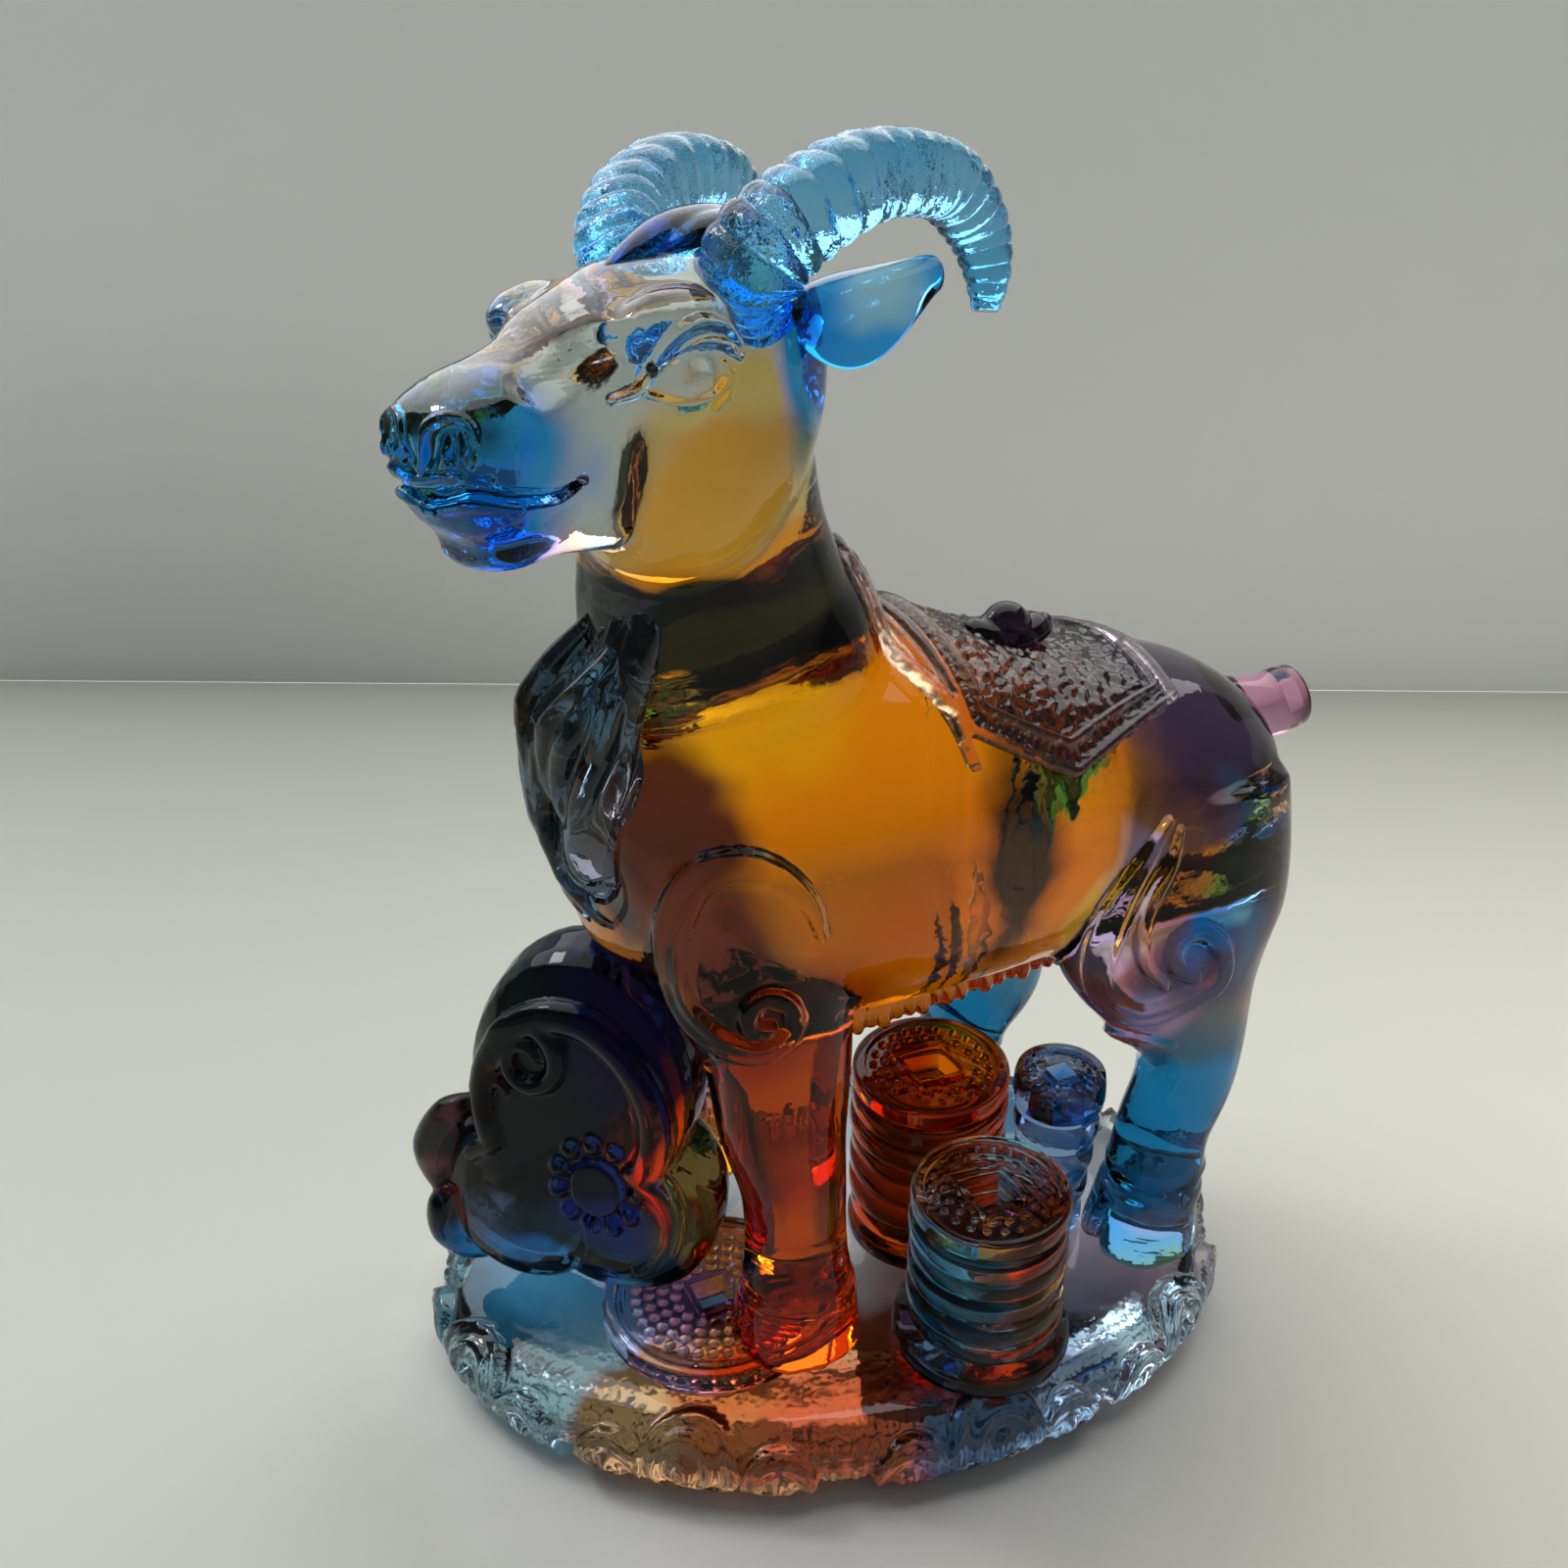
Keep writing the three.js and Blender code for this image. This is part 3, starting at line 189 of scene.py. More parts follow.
# The faint waves of a skin that cooled against its mould. Scale is waves to a metre.
skin_waves, given, result = group_of("skin_waves", {"Scale": "Float"}, ("Height", "Float"))
place = placed(skin_waves, "TexCoord").outputs["Object"]
waves = placed(skin_waves, "TexNoise", {"Vector": place, "Scale": given["Scale"]})
fed(skin_waves, result, {"Height": waves.outputs["Fac"]})


def painted(tree, ground, patches):
    """A ground colour, or the output of the last of the patches laid over it in turn."""
    colour = (*ground, 1)
    for laid, centre, reach, softness in patches:
        colour = placed(tree, "Group", {
            "Under": colour,
            "Laid": (*laid, 1),
            "Centre": spot(*centre),
            "Reach": Vector(reach) / 1000,
            "Softness": softness,
        }, node_tree=colour_patch).outputs["Color"]
    return colour


def glass(name, ground, patches=(), roughness=0.02, ripple=0.14, ripple_size=3.0, shine=0.4, glint=None):
    """Cast glass: a ground colour, colours laid over it, and a faintly rippled skin.

    Shine is how much the skin mirrors. Inside the soft oval of a glint it mirrors in full, a painted
    highlight that puts the lamp's reflection there.
    """
    material = bpy.data.materials.new(name)
    material.use_nodes = True
    tree = material.node_tree
    mirror = (shine, shine, shine, 1)
    if glint:
        centre, reach, softness = glint
        mask = oval(tree, spot(*centre), Vector(reach) / 1000, softness)
        mirror = mixed(tree, mask, mirror, (1, 1, 1, 1))
    waves = placed(tree, "Group", {"Scale": 1000 / ripple_size}, node_tree=skin_waves)
    bump = placed(tree, "Bump", {
        "Strength": ripple,
        "Distance": 0.0004,
        "Height": waves.outputs["Height"],
    })
    fed(tree, tree.nodes["Principled BSDF"], {
        "Base Color": painted(tree, ground, patches),
        "Roughness": roughness,
        "IOR": 1.5,
        "Transmission Weight": 1,
        "Specular Tint": mirror,
        "Normal": bump.outputs["Normal"],
    })
    return material


def fitted(piece, material, slot, *nodes):
    """Gives a finished piece its glass and its place among the frame's nodes."""
    piece.data.materials.clear()
    piece.data.materials.append(material)
    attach(piece, "root")
    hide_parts(*nodes)


CLEAR = (0.88, 0.92, 0.95)
PALE_BLUE = (0.26, 0.62, 0.86)
LILAC = (0.84, 0.76, 0.86)

BASE_CENTRE = (-5.6, 1.5)
BASE_HALVES = (57.5, 39)
BASE_TURN = math.radians(-15)
BASE_TOP = 13.5
RIM_PROFILE = [(0, 4.6), (2.6, 1.6), (7, 0), (10.8, 2.6), (BASE_TOP - 0.6, 11)]
RIM_CLOUDS = 8


def outline(angle, inset):
    """A point of the oval outline, drawn in by an inset."""
    x = (BASE_HALVES[0] - inset) * math.cos(angle)
    y = (BASE_HALVES[1] - inset) * math.sin(angle)
    cos, sin = math.cos(BASE_TURN), math.sin(BASE_TURN)
    return BASE_CENTRE[0] + x * cos - y * sin, BASE_CENTRE[1] + x * sin + y * cos


ROUND = np.linspace(0, math.tau, 721)
chords = np.hypot(*np.diff([outline(a, 0) for a in ROUND], axis=0).T)
laps = np.concatenate([[0], np.cumsum(chords)])
LAP = laps[-1]
CLOUD_PITCH = LAP / RIM_CLOUDS
AROUND = 880
# Up the rim, over its shoulder and in across the dome, as height and inset.
SECTION = smoothed([*RIM_PROFILE, (BASE_TOP + 0.1, 16), (BASE_TOP + 0.1, 22)], 58)
UP_RIM = np.concatenate([[0], np.cumsum(np.linalg.norm(np.diff(SECTION, axis=0), axis=1))])
# The lobes of one cloud: along, up, size and the hand of its spiral. Between the
# clouds lie fields of beads, in rows.
LOBES = [(-1.5, 7.4, 7.4, 1), (-12.6, 5.6, 5.4, -1), (10.2, 5.4, 5.8, -1)]
COIL = 3.1
PEARL = 0.85
PEARL_ROW = 1.9
PEARL_STEP = 2.2


def cloud_relief(x, y):
    """How far the clouds stand out of the rim, in mm, along it and up it."""
    inside = np.full(x.shape, -9.0)
    relief = np.zeros(x.shape)
    for along, up, size, hand in LOBES:
        away = np.hypot(x - along, y - up)
        turn = np.arctan2(y - up, (x - along) * hand)
        coil = 0.5 + 0.5 * np.cos(math.tau * (away / COIL - turn / math.tau))
        coil *= np.clip((size - 1.2 - away) / 0.8, 0, 1) * np.clip((away - 1.2) / 0.6, 0, 1)
        knob = np.sqrt(np.clip(1 - (away / 1.5) ** 2, 0, 1))
        nearer = size - away > inside
        relief = np.where(nearer, 0.75 * coil + 0.9 * knob, relief)
        inside = np.maximum(inside, size - away)
    plate = np.clip(inside, 0, 1)
    plate = plate * plate * (3 - 2 * plate)
    edge = np.exp(-(((inside - 0.9) / 0.55) ** 2))
    row = np.round(y / PEARL_ROW)
    half_step = 0.5 * PEARL_STEP * (row % 2)
    column = np.round((x - half_step) / PEARL_STEP) * PEARL_STEP + half_step
    off = (x - column) ** 2 + (y - row * PEARL_ROW) ** 2
    pearl = np.sqrt(np.clip(1 - off / PEARL**2, 0, 1)) * np.clip(-inside / 0.5, 0, 1)
    pearl *= np.clip((y - 1.0) / 0.4, 0, 1) * np.clip((10.6 - y) / 0.4, 0, 1)
    return 1.5 * plate + 0.55 * edge + relief * plate + 0.75 * pearl


sections = []
steps = np.arange(AROUND) / AROUND * LAP
angles = np.interp(steps, laps, ROUND)
share = steps / CLOUD_PITCH - 0.35 + 0.5
hand = np.where(np.floor(share) % 2, 1, -1)
along = (share - np.floor(share) - 0.5) * CLOUD_PITCH * hand
slope = np.gradient(SECTION, axis=0)
slope /= np.linalg.norm(slope, axis=1)[:, None]
for (height, inset), up, (rise, fall) in zip(SECTION, UP_RIM, slope):
    lift = cloud_relief(along, np.full(AROUND, up - 0.6)) * min(1, up / 1.5)
    ring = []
    for angle, out in zip(angles, lift):
        x, y = outline(angle, inset - out * rise)
        ring.append(spot(x, y, max(0.0, height + out * fall)))
    sections.append(ring)
base = extruded("cloud_base", sections)
bpy.ops.object.shade_smooth_by_angle(angle=math.radians(80))
fitted(
    base,
    glass("base_casting", CLEAR, [
        (PALE_BLUE, (-44, -4, 8), (30, 34, 20), 0.3),
        ((0.12, 0.025, 0.005), (-17, -26, 12), (27, 11, 9), 0.2),
        ((0.12, 0.38, 0.52), (-60, 6, 4), (10, 20, 9), 0.25),
        ((0.12, 0.36, 0.50), (-53, -9, 4), (9, 10, 10), 0.25),
        ((0.09, 0.035, 0.007), (-43, -18, 5), (10, 10, 14), 0.15),
        ((0.09, 0.007, 0.0005), (-33, -26, 5), (12, 11, 14), 0.15),
        ((0.10, 0.004, 0.0005), (-20, -32, 5), (15, 12, 15), 0.15),
        ((0.002, 0.006, 0.018), (0, -38, 5), (13, 13, 11), 0.15),
        ((0.06, 0.07, 0.12), (15, -37, 5), (7, 11, 11), 0.2),
        ((0.36, 0.10, 0.02), (-29, -21, 0), (24, 13, 7), 0.3),
        ((0.10, 0.16, 0.24), (5, -30, 0), (13, 11, 7), 0.3),
        (LILAC, (38, -24, 8), (19, 20, 14), 0.3),
        (PALE_BLUE, (34, 22, 8), (24, 16, 14), 0.4),
    ], roughness=0.04, shine=1.0),
    "base_glass",
    "base_plinth",
    *("rim_cloud_%d" % (k + 1) for k in range(RIM_CLOUDS)),
)


# The coins.
# Old cash coins of coloured glass: round, with a raised rim, a square hole and
# rings of beads. One lies under the raised hoof, and three stacks stand on the base.
MM = 0.001
COIN_THICK = 3.4
COIN_PITCH = 3.7
COIN_FLOOR = 13.8
COIN_SHIFT = 0.3
SUNK = 0.8


def turned(name, centre, profile, sides=64):
    """A round body: rings of radius and height about an upright axis."""
    angles = np.linspace(0, 2 * np.pi, sides, endpoint=False)
    x, y, z = centre
    sections = []
    for radius, height in profile:
        sections.append([
            spot(x + radius * math.cos(a), y + radius * math.sin(a), z + height)
            for a in angles
        ])
    return extruded(name, sections)


def bead(centre, radius):
    """A small round bead."""
    bpy.ops.object.select_all(action="DESELECT")
    bpy.ops.mesh.primitive_ico_sphere_add(subdivisions=2, radius=radius, location=centre)
    pearl = bpy.context.object
    bpy.ops.object.transform_apply(location=True, rotation=False, scale=False)
    return pearl


def picked(*pieces):
    """Selects some pieces and nothing else. The first of them is the active one."""
    bpy.ops.object.select_all(action="DESELECT")
    for piece in pieces:
        piece.select_set(True)
    bpy.context.view_layer.objects.active = pieces[0]


def merged(name, parts):
    """Several bodies in one mesh, under one name."""
    picked(*parts)
    bpy.ops.object.join()
    parts[0].name = parts[0].data.name = name
    return parts[0]


def applied(piece, kind, **settings):
    """Adds a modifier and applies it."""
    picked(piece)
    modifier = piece.modifiers.new("step", kind)
    for setting, value in settings.items():
        setattr(modifier, setting, value)
    bpy.ops.object.modifier_apply(modifier="step")
    return piece


def fused(body, tool, operation="UNION"):
    """Joins a closed body to another, or cuts it out, and keeps the edges sharp."""
    applied(body, "BOOLEAN", operation=operation, solver="MANIFOLD", object=tool)
    bpy.data.objects.remove(tool)
    return body


def coin_top(piece, centre, radius, top, rings, hole=0.3):
    """Sets beads in rings on a coin's face, and frames and cuts its square hole."""
    x, y = centre
    pearls = []
    for share, count in rings:
        for k in range(count):
            angle = (k + 0.5 * share) / count * math.tau
            place = spot(
                x + radius * share * math.cos(angle),
                y + radius * share * math.sin(angle),
                top + 0.1,
            )
            pearls.append(bead(place, min(0.06 * radius, 0.85) * MM))
    fused(piece, merged("pearls", pearls))
    side = radius * hole
    corner = [(1, 1), (-1, 1), (-1, -1), (1, -1)]
    for reach, low, high, way in (
        (side + 0.8, top - 1.5, top + 0.6, "UNION"),
        (side, top - 6, top + 3, "DIFFERENCE"),
    ):
        block = extruded("square", [
            [spot(x + a * reach, y + b * reach, z) for a, b in corner]
            for z in (low, high - 0.25, high)
        ])
        fused(piece, block, way)
    bpy.ops.object.shade_smooth_by_angle(angle=math.radians(50))


def coin_profile(radius, floor, face):
    """Radius and height down one coin's outside, from its foot to its face."""
    top = floor + COIN_THICK
    rows = [(radius - 0.75, floor), (radius - 0.15, floor + 0.35), (radius, floor + 0.9),
            (radius, top - 0.9), (radius - 0.15, top - 0.35), (radius - 0.6, top)]
    if face:
        rows += [(radius * 0.85, top), (radius * 0.82, top - 0.6), (radius * 0.3, top - 0.6)]
    return rows


def coin_stack(name, centre, radii):
    """A column of coins, each a little off centre, with a groove between each two."""
    sections = []
    angles = np.linspace(0, math.tau, 72, endpoint=False)
    for k, radius in enumerate(radii):
        last = k == len(radii) - 1
        dx = centre[0] + (0 if last else COIN_SHIFT * math.sin(2.1 * k))
        dy = centre[1] + (0 if last else COIN_SHIFT * math.cos(1.7 * k))
        floor = COIN_FLOOR - SUNK * (k == 0) + k * COIN_PITCH
        for wide, high in coin_profile(radius, floor, last):
            sections.append([
                spot(dx + wide * math.cos(a), dy + wide * math.sin(a), high) for a in angles
            ])
    return extruded(name, sections)


STEP_AT = (-29, -8.5)
step = turned("step_coin_cast", (*STEP_AT, 0), [
    (14.6, 12.9), (15.3, 14.2), (15.5, 15), (15.4, 16.2), (14.9, 16.9), (14.2, 17.2),
    (13.7, 17.15), (13.4, 16.7), (13.0, 16.6), (12.7, 17), (12.3, 17.0), (12.0, 16.5), (4, 16.5),
], 96)
coin_top(step, STEP_AT, 15.5, 16.5, [(0.70, 34), (0.58, 28), (0.46, 22), (0.34, 16)], 0.16)
fitted(step, glass("step_coin_glass", (0.85, 0.20, 0.05), [
    ((0.80, 0.66, 0.92), (-41, -8, 16), (6, 14, 8), 0.3),
    ((0.60, 0.16, 0.26), (-33, -6, 16), (6, 9, 8), 0.3),
]), "red_glass", "step_coin")

TOP_RINGS = [(0.73, 22), (0.58, 17)]
TALL_AT = (6.2, -5.4)
tall = coin_stack("tall_coin_stack", TALL_AT, [11.1] * 8)
coin_top(tall, TALL_AT, 11.1, COIN_FLOOR + 7 * COIN_PITCH + COIN_THICK - 0.6, TOP_RINGS)
fitted(tall, glass("tall_stack_glass", (0.45, 0.03, 0.001), [
    ((0.80, 0.20, 0.004), (16, -5, 38), (6, 10, 14), 0.4),
]), "amber_glass", *("tall_stack_coin_%d" % (k + 1) for k in range(8)))

FRONT_AT = (3.1, -27.4)
front = coin_stack("front_coin_stack", FRONT_AT, [12.2] + [10.6] * 6)
coin_top(front, FRONT_AT, 10.6, COIN_FLOOR + 6 * COIN_PITCH + COIN_THICK - 0.6, TOP_RINGS)
fitted(front, glass("front_stack_glass", (0.85, 0.86, 0.86), [
    ((0.36, 0.08, 0.008), (8, -36, 30), (8, 13, 12), 0.2),
    ((0.03, 0.60, 1.0), (-8, -33, 30), (7.5, 14, 11), 0.15),
    ((0.006, 0.014, 0.022), (3, -30, 15), (16, 18, 6), 0.3),
    ((0.42, 0.34, 0.36), (2, -28, 41), (10, 10, 2.6), 0.3),
    ((0.30, 0.05, 0.003), (-3, -20, 39), (7, 6, 5), 0.4),
]), "rim_blue_glass", *("front_stack_coin_%d" % (k + 1) for k in range(7)))

# The slim column at the back widens upwards.
REAR_AT = (23.5, -12.4)
REAR_RADIUS = 6.5
REAR_TOP = COIN_FLOOR + 27
rear_rows = []
for k in range(5):
    wide = REAR_RADIUS * (0.74 + 0.26 * k / 4)
    foot = COIN_FLOOR - SUNK * (k == 0) + 5.4 * k
    rear_rows += [(wide - 0.6, foot), (wide, foot + 0.9), (wide + 0.15, foot + 2.4), (wide, foot + 4.6)]
rear_rows += [(6.3, REAR_TOP), (5.2, REAR_TOP), (5.0, REAR_TOP - 0.6), (2, REAR_TOP - 0.6)]
rear = turned("rear_coin_stack", (*REAR_AT, 0), rear_rows, 56)
coin_top(rear, REAR_AT, REAR_RADIUS, REAR_TOP - 0.6, [(0.64, 16)], 0.26)
fitted(rear, glass("rear_stack_glass", (0.22, 0.34, 0.58), [
    ((0.02, 0.16, 0.55), (23.6, -12.4, 37), (7, 7, 3), 0.4),
]), "clear_glass", "rear_coin_column")


# The cloud scroll.
# A thick ruyi head leans against the goat's chest: a puffed plate with a raised
# band that winds into a curl, and a flower of glass drops round a flat boss.
RUYI_AT = (-43, 3.5, 15.4)
RUYI_STRETCH = 1.08
RUYI_MIDDLE = np.array([0, 24])
LEAN = math.radians(-8)
FACING = math.radians(-44)


def bezier(points, count):
    """Places along a chain of cubic curves that share their ends."""
    line = []
    for k in range(0, len(points) - 3, 3):
        a, b, c, d = (np.array(p, float) for p in points[k : k + 4])
        for t in np.arange(count) / count:
            s = 1 - t
            line.append(s**3 * a + 3 * s * s * t * b + 3 * s * t * t * c + t**3 * d)
    return np.array(line)


ruyi_line = bezier([
    (0, 3), (5, 0), (19, 2.5), (20.5, 12), (21.5, 19), (18, 22), (14.5, 23),
    (22, 36), (10, 50), (0, 50), (-12, 50), (-21, 36), (-15, 23),
    (-19, 22), (-22, 19), (-21.5, 11), (-21, -1), (-6, -3), (0, 3),
], 14)


def on_ruyi(x, y, out):
    """The frame place of a point of the leaning plate: across it, up it, out of its face."""
    height = y * RUYI_STRETCH
    up = height * math.cos(LEAN) + out * math.sin(LEAN)
    back = -out * math.cos(LEAN) - height * math.sin(LEAN)
    along = x * math.cos(FACING) - back * math.sin(FACING)
    aside = x * math.sin(FACING) + back * math.cos(FACING)
    return spot(RUYI_AT[0] + along, RUYI_AT[1] + aside, RUYI_AT[2] + up)


def spread(values, count):
    """Values spread evenly over a number of steps, with even slopes between them."""
    return np.interp(np.linspace(0, 1, count), np.linspace(0, 1, len(values)), values)


def rope(name, path, radii, sides=8):
    """A round line along a path, its radii spread evenly from one end to the other."""
    path = np.array([tuple(p) for p in path])
    along = np.gradient(path, axis=0)
    along /= np.linalg.norm(along, axis=1)[:, None]
    radius = spread(radii, len(path))
    side = np.cross(along[0], [0.31, 0.45, 0.84])
    sections = []
    angles = np.linspace(0, 2 * np.pi, sides, endpoint=False)
    for centre, way, size in zip(path, along, radius):
        side = side - way * np.dot(side, way)
        side /= np.linalg.norm(side)
        top = np.cross(way, side)
        ring = centre + size * (np.outer(np.cos(angles), side) + np.outer(np.sin(angles), top))
        sections.append([Vector(p) for p in ring])
    return extruded(name, sections)


def thinned(piece, most):
    """Takes faces out of a skin, where it is plain, until it has few enough triangles."""
    piece.data.calc_loop_triangles()
    triangles = len(piece.data.loop_triangles)
    if triangles > most:
        applied(piece, "DECIMATE", ratio=most / triangles)


def cast(piece, grain, rounding, most=190000):
    """Runs overlapping bodies into one skin with softened joins. Grain is in mm."""
    applied(piece, "REMESH", mode="VOXEL", voxel_size=grain / 1000, use_smooth_shade=True)
    applied(piece, "SMOOTH", factor=0.5, iterations=rounding)
    thinned(piece, most)
    bpy.ops.object.shade_smooth()
    return piece


parts = [extruded("ruyi_plate", [
    [on_ruyi(*(RUYI_MIDDLE + (p - RUYI_MIDDLE) * (1 - inset / 22)), out) for p in ruyi_line]
    for inset, out in ((9, -7.2), (6, -7), (3.4, -6), (1.6, -4.2), (1, -2), (1, 2),
                       (1.6, 4.2), (3.4, 6), (6, 7), (9, 7.4))
])]
band = [on_ruyi(*p, 7.0) for p in (RUYI_MIDDLE + (ruyi_line - RUYI_MIDDLE) * 0.74)[8:64]]
parts.append(rope("ruyi_band", band, np.array([1.0, 2.4, 2.4, 1.6]) * MM, 12))
wind = []
for t in np.linspace(0, 1, 60):
    swing = math.pi * (1.35 - 3.3 * t)
    size = 6.2 * (1 - 0.78 * t)
    wind.append(on_ruyi(-5.5 + size * math.cos(swing), 37 + size * math.sin(swing), 7.6 + 0.8 * t))
parts.append(rope("ruyi_curl", wind, np.array([0.7, 1.6, 1.2, 0.8]) * MM, 10))
FLOWER = (4.5, 21)


def by_flower(radius, angle, out):
    """A place on the plate, round the middle of its flower."""
    return on_ruyi(FLOWER[0] + radius * math.cos(angle), FLOWER[1] + radius * math.sin(angle), out)


for k in range(11):
    drop = [by_flower(r, k / 11 * math.tau, 7.7) for r in (4.6, 5.4, 6.4, 7.0)]
    parts.append(rope("ruyi_drop", drop, np.array([0.6, 1.2, 1.35, 0.5]) * MM, 12))
boss = [
    [by_flower(radius, a, out) for a in np.linspace(0, math.tau, 32, endpoint=False)]
    for radius, out in ((3.9, 6), (3.9, 8.2), (3.5, 8.8), (3.0, 8.7))
]
parts.append(extruded("ruyi_boss", boss))
for leaf in (
    [(-14, 27, 4), (-18.5, 24.5, 5.4), (-21.5, 19, 5.0), (-21, 13, 3.4), (-18, 9, 2.6)],
    [(-17, 15, 5.2), (-19.5, 11, 5.6), (-19.5, 6.5, 4.6), (-17, 3.4, 3.4), (-14, 2.4, 3)],
):
    path = [on_ruyi(*p) for p in smoothed(leaf, 30)]
    parts.append(rope("ruyi_leaf", path, np.array([0.8, 2.6, 3.0, 2.4, 0.9]) * MM, 16))
ruyi = merged("cloud_scroll", parts)
cast(ruyi, 0.34, 6, 150000)
fitted(ruyi, glass("cloud_scroll_glass", (0.003, 0.007, 0.007), [
    ((0.003, 0.0015, 0.018), (-35, -2, 56), (10, 18, 18), 0.3),
    ((0.010, 0.004, 0.035), (-41, -4, 37), (9, 10, 7), 0.4),
    ((0.90, 0.06, 0.002), (-29.5, -5, 37), (9, 18, 13), 0.15),
    ((0.03, 0.22, 0.60), (-49, 0, 19), (20, 18, 6), 0.3),
    ((0.20, 0.07, 0.08), (-60, 8, 33), (7, 9, 12), 0.3),
], shine=0.25), "navy_glass", "ruyi_head", "ruyi_border", "ruyi_flower")


# The goat's figure.
# Trunk, neck, head, legs and hooves are one casting in coloured glass, and every
# join between them is a soft fillet. The relief is modelled into its skin.
NIGHT = (0.0006, 0.0016, 0.0012)
MIST = (0.62, 0.72, 0.70)
HONEY = (0.95, 0.48, 0.05)
PURPLE = (0.05, 0.03, 0.08)
VIOLET = (0.35, 0.16, 0.45)
PINK = (0.90, 0.35, 0.80)
SEA = (0.01, 0.18, 0.42)
MILKY = (0.92, 0.84, 0.92)
DEEP_SKY = (0.001, 0.20, 0.95)
ROYAL = (0.03, 0.40, 0.80)


def limb(name, rows, across, rings=36, sides=28, power=(2.2, 2.2)):
    """Oval sections along a bent line. A row is x, y, z, side, up and down reach."""
    rows = [r if len(r) == 6 else [*r, r[4]] for r in rows]
    fine = smoothed(rows, rings)
    line = fine[:, :3]
    along = np.gradient(line, axis=0)
    angles = np.linspace(0, math.tau, sides, endpoint=False)
    sections = []
    for centre, way, (side, up, down), shape in zip(line, along, fine[:, 3:], spread(power, rings)):
        square = 2 / shape
        wide = np.sign(np.cos(angles)) * np.abs(np.cos(angles)) ** square
        high = np.sign(np.sin(angles)) * np.abs(np.sin(angles)) ** square
        way = way / np.linalg.norm(way)
        left = across - way * np.dot(across, way)
        left = left / np.linalg.norm(left)
        top = np.cross(left, way)
        reach = np.where(high > 0, up, down)
        ring = centre + np.outer(wide * side, left) + np.outer(high * reach, top)
        sections.append([spot(*p) for p in ring])
    return extruded(name, sections)


def lump(name, centre, radii, turn=0.0):
    """A rounded mass, such as a brow or a cheek, that is merged into a larger form."""
    bpy.ops.object.select_all(action="DESELECT")
    bpy.ops.mesh.primitive_uv_sphere_add(
        segments=32,
        ring_count=16,
        radius=MM,
        location=spot(*centre),
        rotation=(0, 0, turn),
        scale=radii,
    )
    mass = bpy.context.object
    mass.name = mass.data.name = name
    bpy.ops.object.transform_apply(location=True, rotation=True, scale=True)
    return mass


def mirrored(piece, name, step=(0, 0, 0)):
    """A copy on the other side of the goat's middle plane, moved by a step in mm."""
    twin = piece.copy()
    twin.data = piece.data.copy()
    twin.name = twin.data.name = name
    bpy.context.collection.objects.link(twin)
    for vertex in twin.data.vertices:
        vertex.co = across_body(vertex.co) + Vector(step) * MM
    twin.data.flip_normals()
    return twin


def across_body(place):
    """The matching place on the goat's other side."""
    return Vector((place.x, 2 * spot(0, 0, 0).y - place.y, place.z))


SIDEWAYS = np.array([0.0, -1.0, 0.0])
LENGTHWISE = np.array([1.0, 0.0, 0.0])
TRUNK = [
    [-41, 0, 84, 4, 5, 5],
    [-39.5, 0, 84, 12, 13, 12],
    [-35, 0, 85, 18.5, 19, 18],
    [-27, 0, 86, 22.5, 23, 23],
    [-15, 0, 86, 24, 25, 26],
    [-3, 0, 85.5, 24, 24.5, 27],
    [10, 0, 84, 23, 21, 26],
    [22, 0, 83, 22.5, 18.5, 24],
    [35, 0, 81, 22.5, 17.5, 20],
    [46, 0, 79, 20, 16, 17],
    [53, 0, 78, 15, 12.5, 13],
    [57, 0, 77.5, 8, 7.5, 7],
    [58, 0, 77.5, 3, 3, 3],
]
trunk = limb("trunk", TRUNK, SIDEWAYS, rings=60, sides=40)
neck = limb("neck", [
    [-19, 0, 90, 19, 17],
    [-21, -0.5, 107, 18, 16],
    [-24, -2, 117, 16, 13],
    [-26, -3.5, 127, 14, 11.5],
    [-27, -5, 137, 12.8, 10.8],
    [-27, -6, 146, 11, 9.5],
], LENGTHWISE)

# The head turns 25 degrees to the goat's left and tilts a little.
TURN = math.radians(25)
TILT = math.radians(6)
AHEAD = np.array([-math.cos(TURN), -math.sin(TURN), 0])
ASIDE = np.array([
    math.sin(TURN) * math.cos(TILT),
    -math.cos(TURN) * math.cos(TILT),
    math.sin(TILT),
])
CROWN = -np.cross(ASIDE, AHEAD)
HEAD_AT = np.array([-24, -5, 146])


def on_head(ahead, aside, up):
    """Drawing millimetres of a place given in the head's own directions."""
    return HEAD_AT + AHEAD * ahead + ASIDE * aside + CROWN * up


def across_head(place):
    """The matching place on the head's other side."""
    away = (place - spot(*HEAD_AT)).dot(Vector(ASIDE))
    return place - 2 * away * Vector(ASIDE)


